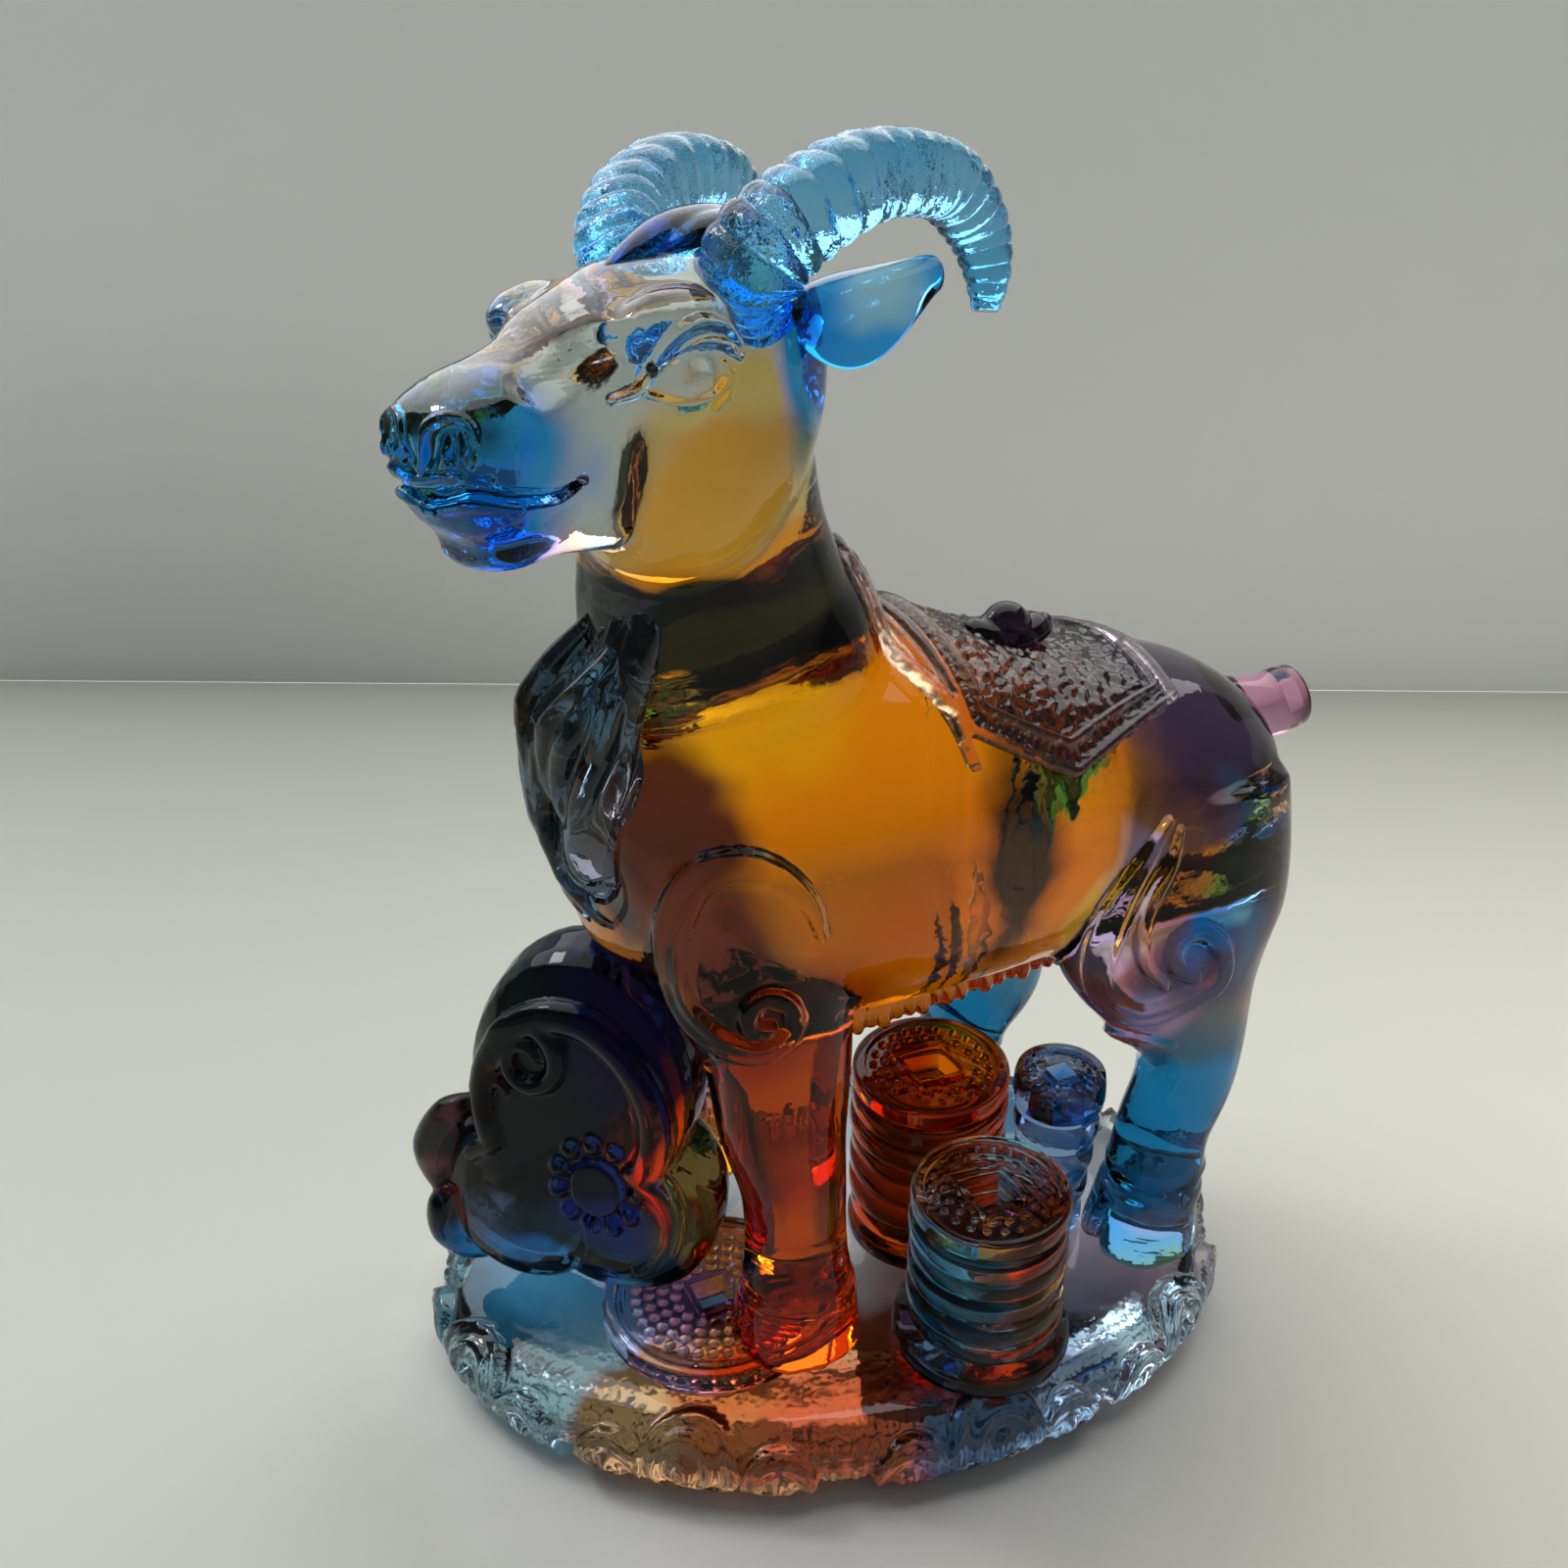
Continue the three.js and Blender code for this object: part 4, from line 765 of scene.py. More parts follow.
skull = limb("skull", [
    [*on_head(-9, 0, 0), 5, 6, 6],
    [*on_head(-7, 0, 0), 9, 10, 12],
    [*on_head(-1, 0, 0), 12, 12.6, 19],
    [*on_head(7, 0, 0), 12.6, 12.2, 22],
    [*on_head(14, 0, 0), 11.4, 11.4, 20.5],
    [*on_head(20, 0, 0), 9.6, 9.4, 16],
    [*on_head(27, 0, -1), 7.8, 7.4, 11.0],
    [*on_head(33, 0, -2), 8.2, 7.0, 9.0],
    [*on_head(37.5, 0, -3), 7.2, 6.2, 6.5],
    [*on_head(39.5, 0, -3.5), 4.5, 4, 3.5],
], -ASIDE, rings=48, sides=40, power=(2.1, 2.2, 2.4, 3.2, 3.2))
jaw = limb("jaw", [
    [*on_head(12, 0, -9), 8, 6, 8],
    [*on_head(22, 0, -9.5), 6.5, 4, 5.5],
    [*on_head(29, 0, -10), 6, 3.5, 3.6],
    [*on_head(34, 0, -10.6), 5.8, 3, 3],
    [*on_head(37, 0, -10.6), 3.4, 2, 1.8],
], -ASIDE, rings=24)
lip = lump("lip", on_head(36.2, 0, -6.4), (3.4, 7.6, 3.0), TURN)
# The far side of the face is flatter, so that the glass there is clear to look through.
far_cheek = limb("far_cheek", [
    [*on_head(5, -6, -4), 6.4, 8, 11],
    [*on_head(13, -6, -4), 6.8, 8, 12],
    [*on_head(21, -6, -4), 6.6, 7, 10],
    [*on_head(27, -5, -4), 6.0, 6, 8],
    [*on_head(30, -4, -4), 4, 4, 5],
], -ASIDE, rings=24, sides=36, power=(3.4, 3.4))
parts = [trunk, neck, skull, jaw, lip, far_cheek]
for hand in (1, -1):
    parts.append(lump("brow", on_head(16, 9.2 * hand, 6.6), (6.2, 3.9, 3.2), TURN))
    parts.append(lump("eyeball", on_head(16.4, 10.6 * hand, 1.4), (3.3, 2.9, 2.7), TURN))
    parts.append(lump("nostril_wing", on_head(35, 5.8 * hand, -1.6), (3.6, 2.6, 3.0), TURN))

LEG_OUT = 18.3
foreleg = limb("foreleg", [
    [-25, -13, 86, 13, 8],
    [-24, -14.5, 74, 12, 8.5],
    [-22.5, -16, 63, 9.6, 7.8],
    [-22.5, -17.4, 52, 8.3, 7.4],
    [-21.5, -LEG_OUT, 43, 7, 6.6],
    [-21, -LEG_OUT, 34, 6.7, 6.4],
    [-21.5, -19.2, 27, 7.4, 7],
], LENGTHWISE)
hindleg = limb("hindleg", [
    [36, -14, 86, 17, 9],
    [35.5, -15.5, 75, 18, 10],
    [35.5, -17, 65, 17, 10],
    [37.5, -17.6, 56, 12.5, 8.6],
    [40.5, -LEG_OUT, 46, 8, 7],
    [40.5, -LEG_OUT, 38, 7, 6.5],
    [37, -19.4, 31, 6.6, 6.3],
    [35.1, -21, 22, 7.2, 6.9],
], LENGTHWISE)
fore_hoof = limb("fore_hoof", [
    [-20.7, -19.2, 28.2, 7.2, 7],
    [-21.1, -19.2, 23, 8.1, 7.7],
    [-21.5, -19.2, 16.6, 9, 8.4],
], LENGTHWISE, rings=8)
hind_hoof = limb("hind_hoof", [
    [34.4, -21, 24.4, 6.8, 6.6],
    [34, -21, 19, 7.7, 7.3],
    [33.6, -21, 13.2, 8.6, 8],
], LENGTHWISE, rings=8)
HIND_STEP = (-11, -3, 0)
far_hindleg = limb("far_hindleg", [
    [25, 11, 86, 17, 6.5],
    [24.5, 12.5, 75, 16, 7.2],
    [24.5, 14, 65, 16, 8.6],
    [26.5, 14.6, 56, 12.5, 8.6],
    [29.5, 15.3, 46, 8, 7],
    [29.5, 15.3, 38, 7, 6.5],
    [26, 16.4, 31, 6.6, 6.3],
    [24.1, 18, 22, 7.2, 6.9],
], LENGTHWISE)
parts += [
    foreleg, hindleg, fore_hoof, hind_hoof,
    mirrored(foreleg, "far_foreleg"),
    mirrored(fore_hoof, "far_fore_hoof"),
    far_hindleg,
    mirrored(hind_hoof, "far_hind_hoof", HIND_STEP),
]
figure = merged("goat_figure", parts)
cast(figure, 0.85, 10)
# The joins on the far side show through the glass, so they are rubbed down further.
calm = figure.vertex_groups.new(name="calm")
for centre, reach in ((on_head(9, -12, -11), 13), ((12, 22, 72), 19)):
    near = [v.index for v in figure.data.vertices if (v.co - spot(*centre)).length < reach * MM]
    calm.add(near, 1, "REPLACE")
applied(figure, "SMOOTH", factor=0.5, iterations=60, vertex_group="calm")


def tree_of(places):
    """A search tree over some places."""
    tree = KDTree(len(places))
    for k, place in enumerate(places):
        tree.insert(place, k)
    tree.balance()
    return tree


def finer(piece, places, reach):
    """Halves the faces that lie near some places, for the fine modelling there."""
    tree = tree_of(places)
    mesh = piece.data
    near = [tree.find(face.center)[2] < reach for face in mesh.polygons]
    picked(piece)
    mesh.vertices.foreach_set("select", np.zeros(len(mesh.vertices), bool))
    mesh.edges.foreach_set("select", np.zeros(len(mesh.edges), bool))
    mesh.polygons.foreach_set("select", near)
    bpy.ops.object.mode_set(mode="EDIT")
    bpy.ops.mesh.select_mode(type="FACE")
    bpy.ops.mesh.subdivide(number_cuts=1, smoothness=0)
    bpy.ops.object.mode_set(mode="OBJECT")


def raised(piece, line, width, lift, flat=0.0):
    """Raises a line on the skin, or sinks it where lift is negative. Widths run along it."""
    line = np.array([tuple(p) for p in line])
    steps = np.linalg.norm(np.diff(line, axis=0), axis=1)
    length = np.concatenate([[0], np.cumsum(steps)])
    fine = np.linspace(0, length[-1], 2 + int(length[-1] / (0.25 * MM)))
    line = np.stack([np.interp(fine, length, line[:, k]) for k in range(3)], axis=1)
    widths = np.atleast_1d(np.array(width, float)) * MM
    wide = spread(widths, len(line))
    count = len(piece.data.vertices)
    places = np.zeros(count * 3)
    piece.data.vertices.foreach_get("co", places)
    places = places.reshape(-1, 3)
    reach = wide.max()
    box = np.all((places > line.min(0) - reach) & (places < line.max(0) + reach), axis=1)
    tree = tree_of(line)
    for k in np.where(box)[0]:
        _, nearest, apart = tree.find(places[k])
        share = apart / wide[nearest]
        if share < 1:
            rise = min(1, (1 - share) / (1 - flat))
            rise = rise * rise * (3 - 2 * rise) * lift * MM
            places[k] += np.array(piece.data.vertices[int(k)].normal) * rise
    piece.data.vertices.foreach_set("co", places.ravel())
    piece.data.update()


def seen(tree, u, v):
    """The point of a surface that shows at a pixel of the photograph."""
    sight = Vector(((u - PHOTO / 2) / FOCAL, (PHOTO / 2 - v) / FOCAL, -1))
    sight.rotate(camera.matrix_world)
    return tree.ray_cast(camera.location, sight.normalized())[0]


def traced(tree, pixels, twin=None, step=(0, 0, 0)):
    """A smooth line on the near side through pixels, and its match on the far side."""
    pixels = smoothed(pixels, 8 * len(pixels))
    near = [seen(tree, u, v) for u, v in pixels]
    near = [p for p in near if p is not None]
    lines = [near]
    if twin:
        matched = [twin(p) + Vector(step) * MM for p in near]
        lines.append([tree.find_nearest(p)[0] for p in matched])
    return lines


skin = BVHTree.FromObject(figure, bpy.context.evaluated_depsgraph_get())
SHOULDER = [(838, 955), (826, 922), (795, 895), (755, 885), (715, 895), (692, 930), (684, 975),
            (697, 1025), (730, 1060), (772, 1074), (806, 1055), (806, 1028), (783, 1018), (764, 1032),
            (768, 1050), (782, 1050)]
HAUNCH = [(1192, 838), (1170, 875), (1140, 922), (1122, 970), (1126, 1012), (1160, 1034),
          (1200, 1024), (1240, 1002), (1246, 970), (1226, 950), (1202, 960), (1200, 985), (1218, 994)]
INNER_HAUNCH = [(1205, 845), (1196, 881), (1174, 922), (1165, 954), (1169, 985), (1188, 1006)]
THIGH = [(1062, 1012), (1090, 1030), (1122, 1045), (1155, 1058), (1190, 1066)]
BODY_RELIEF = [
    (SHOULDER, [0.8, 2.6, 3.0, 2.6, 1.6, 1.4], 1.1, 0.55, (0, 0, 0)),
    (SHOULDER, [0.5, 1.4, 1.6, 1.3, 0.6], -0.5, 0.3, (0, 0, 0)),
    (HAUNCH, [0.8, 2.4, 2.8, 2.4, 1.6, 1.4], 1.1, 0.55, HIND_STEP),
    (HAUNCH, [0.5, 1.2, 1.4, 1.1, 0.6], -0.5, 0.3, HIND_STEP),
    (INNER_HAUNCH, [0.5, 1.3, 1.3, 0.8], 0.8, 0.4, HIND_STEP),
    (THIGH, [1.5, 2.4, 1.5], 0.9, 0.4, HIND_STEP),
]
HEAD_RELIEF = [
    # the fold over the lid, the lid, the rim under the eye, the crease behind it
    ([(664, 372), (684, 346), (712, 330), (738, 333), (752, 352)], [0.8, 1.1, 0.8], 0.75),
    ([(624, 408), (650, 398), (664, 380), (688, 354), (714, 345), (738, 351), (754, 362)],
     [0.6, 1.0, 1.0, 0.7], 1.0),
    ([(660, 402), (694, 409), (724, 403), (740, 386), (738, 372)], [0.5, 0.8, 0.6], 0.7),
    ([(749, 380), (744, 402), (728, 418)], [0.5, 0.7, 0.5], 0.4),
    ([(650, 388), (672, 372), (690, 364)], [0.7, 0.9, 0.6], -0.5),
    # the hollow of the side of the nose, and the crest that bounds the cheek
    ([(548, 392), (585, 368), (612, 352)], [3.5, 5.0, 3.0], -1.1),
    # the nostril
    ([(438, 470), (446, 442), (466, 438), (474, 456)], [1.2, 1.6, 1.2], -0.8),
    ([(456, 446), (458, 468)], [1.0, 1.2, 0.8], -1.2),
    ([(430, 478), (432, 440), (455, 426), (482, 440), (480, 474)], [0.6, 0.9, 0.6], 0.5),
    # the mouth
    ([(392, 486), (420, 496), (442, 508), (480, 502), (520, 508), (570, 506), (596, 490)],
     [0.9, 1.3, 1.2, 0.7], -1.3),
    ([(398, 474), (424, 486), (452, 494), (500, 492)], [0.7, 1.0, 0.7], 0.6),
    ([(436, 520), (480, 516), (530, 520)], [0.8, 1.2, 0.8], 0.6),
]
# On the far flank the scrolls are fainter: they show through the body as smears.
FAINT = 0.25
relief = []
for pixels, width, lift, flat, step in BODY_RELIEF:
    near, far = traced(skin, pixels, across_body, step)
    relief += [(near, width, lift, flat), (far, width, lift * FAINT, flat)]
for pixels, width, lift in HEAD_RELIEF:
    relief += [(line, width, lift, 0) for line in traced(skin, pixels, across_head)]
# The fetlocks are ringed, and the hooves are cleft in front.
for x, y, z, half in (
    (-21.5, -19.2, 28, 7.9), (-21.5, 19.2, 28, 7.9), (35.1, -21, 24.8, 7.4), (24.1, 18, 24.8, 7.4),
):
    turns = np.linspace(0, math.tau, 60)
    ring = [spot(x + half * math.cos(a), y + half * math.sin(a), z) for a in turns]
    relief.append((ring, [1.0], -0.7, 0))
    relief.append(([p + Vector((0, 0, 1.6 * MM)) for p in ring], [1.0], 0.45, 0))
    cleft = [spot(x - half - 0.8, y, z - 3), spot(x - half - 1.6, y, z - 11)]
    relief.append((cleft, [1.6, 2.2], -1.4, 0))
face_places = [spot(*on_head(a, 0, u)) for a in (0, 8, 16, 24, 32) for u in (4, -6, -14)]
finer(figure, face_places, 17 * MM)
finer(figure, [p for line, width, lift, flat in relief for p in line[::2]], 2.6 * MM)
for line, width, lift, flat in relief:
    raised(figure, line, width, lift, flat)
thinned(figure, 190000)
bpy.ops.object.shade_smooth()
fitted(figure, glass("figure_glass", (0.92, 0.26, 0.002), [
    ((0.97, 0.62, 0.004), (-26, -12, 108), (14, 14, 7), 0.4),
    ((0.80, 0.12, 0.001), (-2, -14, 82), (20, 20, 12), 0.4),
    ((0.02, 0.004, 0.001), (-38, -14, 93), (10, 12, 16), 0.3),
    ((0.28, 0.020, 0.001), (-24, -16, 66), (15, 14, 18), 0.3),
    ((0.06, 0.005, 0.0004), (-32, -20, 82), (10, 9, 11), 0.4),
    ((0.45, 0.025, 0.001), (-23, -18, 44), (12, 12, 12), 0.3),
    ((1.0, 0.12, 0.003), (-22, -20, 24), (14, 15, 10), 0.3),
    (VIOLET, (-22, 18, 50), (14, 12, 30), 0.3),
    (NIGHT, (-24, -3, 119.5), (26, 30, 7), 0.12),
    (MIST, (-30, -8, 148), (34, 26, 21), 0.06),
    (HONEY, (-31, -20, 138), (12.5, 10, 12), 0.2),
    (HONEY, (-21, 8, 128), (15, 13, 11), 0.25),
    (NIGHT, (-10, -6, 126), (6.5, 16, 15), 0.3),
    (DEEP_SKY, (-17, -14, 150), (7, 12, 12), 0.3),
    (DEEP_SKY, (-59, -20, 142), (14, 20, 13), 0.2),
    ((0.003, 0.0015, 0.001), (7.5, -14, 86), (6.5, 22, 18), 0.35),
    (PURPLE, (46, 0, 84), (24, 30, 26), 0.2),
    (PURPLE, (38, -10, 66), (19, 26, 17), 0.2),
    (ROYAL, (39, -25, 77), (4.5, 7, 10), 0.5),
    ((0.001, 0.14, 0.70), (33, -27, 70), (4, 5, 4.5), 0.4),
    (PINK, (25, -14, 58), (12, 14, 6), 0.3),
    (MILKY, (24, -22, 82), (3.4, 10, 6), 0.3),
    (MILKY, (20.5, -22, 72), (3.2, 12, 8), 0.3),
    (MILKY, (40, -1, 62), (14, 8, 4.5), 0.3),
    (SEA, (38, -18, 32), (18, 14, 25), 0.3),
    ((0.02, 0.06, 0.09), (38, -24, 53), (9, 10, 6), 0.5),
    (SEA, (28, 16, 28), (16, 12, 24), 0.3),
# The glint over the top of the head is a painted highlight: the skin mirrors in full there, for the
# broad shine on brow and nose.
], glint=((-36, -12, 157), (34, 26, 15), 0.4)), "amber_glass",
    "torso", "neck", "head", "eye_left", "eye_right",
    "foreleg_left", "foreleg_right", "hindleg_left", "hindleg_right",
    "hoof_fore_left", "hoof_fore_right", "hoof_hind_left", "hoof_hind_right",
    "shoulder_scroll_left", "shoulder_scroll_right",
    "haunch_scroll_left", "haunch_scroll_right",
)


# The horns.
# They sweep back from the poll, out and down, cast in clear light-blue glass with
# close cross ridges all the way along, as on a real ram's horn.
ICE = (0.25, 0.65, 1.0)
SKY = (0.10, 0.50, 0.90)
HORN_LINE = [
    # ahead, aside and up on the head, then the half breadth and half depth there
    [1.6, 7.0, 4, 4.6, 4.8], [3, 7.4, 7.5, 4.7, 4.9], [2.4, 9.4, 11, 4.6, 4.8],
    [-2.4, 12, 14.6, 4.3, 4.6], [-11, 14, 16.4, 4.0, 4.3], [-19, 15.4, 14.8, 3.6, 3.9],
    [-23, 16.8, 10.4, 3.1, 3.4], [-23.6, 17.8, 5.4, 2.4, 2.7], [-22.6, 18.2, 1.2, 1.3, 1.5],
]
RIDGES = 25


def horn(name, hand):
    """A rounded square horn whose sections swell and sink at each ridge."""
    rings = 240
    rows = [[*on_head(a, s * hand, u), side, deep] for a, s, u, side, deep in HORN_LINE]
    fine = smoothed(rows, rings)
    for k, row in enumerate(fine):
        t = k / (rings - 1)
        wave = RIDGES * t + 0.35 * math.sin(9 * t + hand)
        ridge = abs(math.sin(math.pi * wave)) ** 0.55
        row[3:] *= 0.93 + 0.10 * ridge
        row[2] += 0.12 * math.sin(31 * t)
    return limb(name, [list(r) for r in fine], ASIDE, rings=rings, sides=28, power=(3.4, 3.0, 2.4))


for side, hand in (("left", 1), ("right", -1)):
    piece = horn("ribbed_horn_" + side, hand)
    bpy.ops.object.shade_smooth_by_angle(angle=math.radians(40))
    fitted(piece, glass("horn_glass_" + side, ICE, [
        ((0.10, 0.60, 1.0), on_head(2, 9 * hand, 6), (9, 9, 6), 0.5),
        (SKY, on_head(-24, 17 * hand, 4), (5, 5, 9), 0.5),
        (SKY, on_head(-8, 14 * hand, 20), (14, 8, 3.4), 0.5),
    ], ripple=0.5, ripple_size=1.1), "sky_glass", "horn_" + side)


# The ears and the forelock.
# Each ear is a leaf cupped along its middle, with a thin rim. The forelock is a
# pointed leaf that lies between the horns. All three are clear blue glass.
def ear(name, hand):
    """A cupped leaf, run out from the side of the head."""
    out = ASIDE * hand * 0.74 - AHEAD * 0.62
    out[2] = 0.2
    out /= np.linalg.norm(out)
    wide = np.array([AHEAD[0], AHEAD[1], -0.9])
    wide -= out * np.dot(out, wide)
    wide /= np.linalg.norm(wide)
    deep = np.cross(out, wide) * hand
    root = on_head(0.5, 10.6 * hand, 4.5)
    sections = []
    angles = np.linspace(0, math.tau, 36, endpoint=False)
    for t in np.linspace(0, 1, 34):
        half = 3.7 * (0.40 + 1.27 * math.sin(math.pi * t**0.8) ** 0.9 * (1 - 0.35 * t))
        half *= 1 if t < 0.97 else 0.4
        thick = 1.15 * (1 - 0.6 * t) + 0.35
        ring = []
        for a in angles:
            u = math.cos(a)
            rim = 0.35 * max(0.0, abs(u) - 0.8) / 0.2 * (1 if math.sin(a) > 0 else 0)
            cup = (3.3 * u * u + rim) * math.sin(math.pi * min(1, t + 0.1))
            rib = 0.35 * math.exp(-((u / 0.14) ** 2)) * (1 - t) * (1 if math.sin(a) > 0 else 0)
            v = cup + rib + thick * math.sin(a) - 2.2 * t * t
            ring.append(spot(*(root + out * 15.6 * t + wide * half * u + deep * v)))
        sections.append(ring)
    return extruded(name, sections)


for side, hand in (("left", 1), ("right", -1)):
    piece = ear("cupped_ear_" + side, hand)
    applied(piece, "SUBSURF", levels=1, render_levels=1)
    bpy.ops.object.shade_smooth()
    fitted(piece, glass("ear_glass_" + side, (0.03, 0.42, 1.0), [
        ((0.42, 0.80, 1.0), on_head(-5.5, 17.6 * hand, 6), (4.6, 4.6, 3.8), 0.4),
        ((0.01, 0.30, 0.95), on_head(1, 12 * hand, 4), (5, 5, 8), 0.5),
    ]), "sky_glass", "ear_" + side)

parts = []
for aside, length, up in ((0, 1, 0), (-2.2, 0.8, -0.5), (2.2, 0.8, -0.5)):
    parts.append(limb("forelock_leaf", [
        [*on_head(-5, aside * 0.4, 11), 2.6, 2.0],
        [*on_head(-1, aside * 0.8, 13.0 + up), 3.4, 1.9],
        [*on_head(5 * length, aside, 13.3 + up), 3.2, 1.7],
        [*on_head(11 * length, aside * 0.7, 11.8 + up), 1.9, 1.2],
        [*on_head(16 * length, aside * 0.3, 9.9 + up), 0.4, 0.4],
    ], ASIDE, rings=30, sides=20, power=(2, 2)))
forelock = merged("leaf_forelock", parts)
cast(forelock, 0.28, 6)
fitted(forelock, glass("forelock_glass", (0.02, 0.30, 0.80)), "sky_glass", "forelock")


# The mane.
# Wavy locks fall down the front of the neck, thick in the middle and drawn to
# curled points, and run together where they touch. The glass is dark blue.
def seated(piece, clearance=0.03):
    """Cuts a piece along the goat's skin, so that no face of it lies inside the body."""
    body = figure.copy()
    body.data = figure.data.copy()
    bpy.context.collection.objects.link(body)
    applied(body, "DISPLACE", strength=clearance * MM, mid_level=0)
    return fused(piece, body, "DIFFERENCE")


# How far forward the mane's front lies, how thick its locks are and how far its
# strands reach, from its top to its points.
MANE_DROP = (0, 0.27, 0.5, 0.7, 0.92, 1)
MANE_FRONT = (-39.0, -41.6, -46.4, -47.4, -45.6, -43.5)
MANE_THICK = (0.6, 0.75, 1.15, 1.2, 0.9, 0.5)
MANE_REACH = (4.0, 5.0, 7.4, 7.6, 6.4, 4.0)


def down_mane(t, values):
    """One of the mane's measures, part of the way down it."""
    return float(np.interp(t, MANE_DROP, values))


def lock(out, sway, top, bottom, thick):
    """Rows of one broad lock, after the line that it falls in."""
    rows = []
    for t in np.linspace(0, 1, 9):
        front = down_mane(t, MANE_FRONT) + 5.2 + 0.8 * math.sin(11 * t + out)
        aside = -6 + 3.5 * t + out * (0.5 + 0.9 * math.sin(math.pi * t)) + sway * math.sin(9 * t)
        size = thick * down_mane(t, MANE_THICK)
        rows.append([front, aside, top + (bottom - top) * t, size * 1.15, size])
    return rows


parts = [
    limb("lock", lock(0, 0.9, 128, 78, 3.2), LENGTHWISE, power=(2, 2)),
    limb("lock", lock(-4.6, -0.9, 125, 84, 2.8), LENGTHWISE, power=(2, 2)),
    limb("lock", lock(4.6, -0.9, 125, 84, 2.8), LENGTHWISE, power=(2, 2)),
]
STRANDS = 15
for k in range(STRANDS):
    share = k / (STRANDS - 1)
    swing = math.radians(-118 + 236 * share)
    start = 129 - 5 * abs(share - 0.5) - 2 * (k % 2)
    end = 77.5 + 9 * abs(share - 0.5) * 2 + 5 * (k % 3)
    strand = []
    for t in np.linspace(0, 1, 46):
        middle_x = down_mane(t, MANE_FRONT) + 5.6 + 0.7 * math.sin(11 * t)
        middle_y = -6 + 3.5 * t
        curl = 1.2 * max(0, t - 0.8) / 0.2
        wave = 0.26 * math.sin(9 * t + 0.5 * k) + curl * (1 if swing > 0 else -1)
        reach = down_mane(t, MANE_REACH) * (1 + 0.07 * math.sin(10 * t + k))
        strand.append(spot(
            middle_x - 0.72 * reach * math.cos(swing + wave),
            middle_y + 1.08 * reach * math.sin(swing + wave),
            start + (end - start) * t,
        ))
    parts.append(rope("strand", strand, np.array([0.5, 1.0, 1.5, 1.6, 1.1, 0.35]) * MM, 10))
mane = merged("wavy_mane", parts)
cast(mane, 0.3, 3, 150000)
seated(mane)
fitted(mane, glass("mane_glass", (0.05, 0.10, 0.14), [
    ((0.08, 0.34, 0.60), (-44, -10, 122), (4, 8, 10), 0.6),
    ((0.25, 0.36, 0.50), (-45, -4, 82), (8, 8, 7), 0.6),
    ((0.20, 0.09, 0.08), (-38, -12, 98), (6, 6, 12), 0.6),
], shine=0.8), "teal_glass", "mane_middle", "mane_left", "mane_right")


# The tail and the fringe of hair under the belly.
# The tail is a short plum tube, dished where it was cut off the mould's sprue. The
# fringe is a row of small drops along the belly, from elbow to thigh.
tail = limb("tail_stub", [
    [49, 0, 86.5, 5.4, 5.4],
    [56, 0, 85.4, 5.0, 5.0],
    [61, 0, 85.0, 4.7, 4.7],
    [65, 0, 85.5, 4.7, 4.8],
    [66.5, 0, 85.7, 4.5, 4.6],
], SIDEWAYS, rings=24, sides=40, power=(2, 2))
bpy.ops.object.mode_set(mode="EDIT")
mesh = bmesh.from_edit_mesh(tail.data)
for cap in mesh.faces:
    cap.select_set(len(cap.verts) > 4 and cap.calc_center_median().x > spot(60, 0, 0).x)
bmesh.update_edit_mesh(tail.data)
bpy.ops.mesh.inset(thickness=0.9 * MM)
bpy.ops.mesh.inset(thickness=0.5 * MM, depth=-0.9 * MM)
bpy.ops.object.mode_set(mode="OBJECT")
bpy.ops.object.shade_smooth_by_angle(angle=math.radians(50))
fitted(tail, glass("tail_glass", (0.62, 0.30, 0.46), [
    ((0.10, 0.04, 0.07), (69, 0, 87), (3.2, 8, 8), 0.3),
    # The paler pink patch low on the tail's near side is a painted highlight.
    ((0.95, 0.45, 0.80), (62, -3, 81), (6, 5, 3), 0.5),
]), "pink_glass", "tail")

parts = []
for k in range(17):
    t = k / 16
    x = -9 + 31 * t
    for side in (-1, 1):
        foot = 56.6 + 2.2 * t + 0.5 * math.sin(2.3 * k)
        parts.append(limb("tuft", [
            [x, side * 9.6, foot + 5, 1.5, 1.9],
            [x + 0.3, side * 10.2, foot + 2.2, 1.5, 1.6],
            [x + 0.7, side * 10.4, foot, 0.8, 0.9],
        ], LENGTHWISE, rings=8, sides=10, power=(2, 2)))
fringe = merged("belly_hair", parts)
cast(fringe, 0.3, 1)
seated(fringe)
fitted(fringe, glass("belly_hair_glass", (0.50, 0.13, 0.008)), "amber_glass", "belly_fringe")


# The saddle.
# A quilted blanket lies over the back: a grainy field inside a comb-ribbed border
# with a piping along each edge, a leaf-cut trim in front, and a boat-shaped ingot.
def grown(name, grow):
    """The trunk again, larger all round by some millimetres."""
    rows = [[x, y, z, a + grow, b + grow, c + grow] for x, y, z, a, b, c in TRUNK]
    return limb(name, rows, SIDEWAYS, rings=60, sides=72)


def shell(name, edge, inner, outer):
    """A patch of thick skin over the trunk, cut to an outline seen from the side."""
    skin_patch = grown(name, outer)
    fused(skin_patch, grown("core", inner), "DIFFERENCE")
    stamp = extruded("stamp", [
        [spot(x, y, z) for x, z in edge] for y in (-40, 40)
    ])
    return fused(skin_patch, stamp, "INTERSECT")


def on_back(x, swing, lift):
    """The frame place over the trunk's skin, some degrees down from the spine."""
    swing = math.radians(swing)
    middle = spot(x, 0, 85)
    outwards = Vector((0, -math.sin(swing), math.cos(swing)))
    place = skin.ray_cast(middle + outwards * 0.06, -outwards)[0]
    return place + outwards * lift * MM


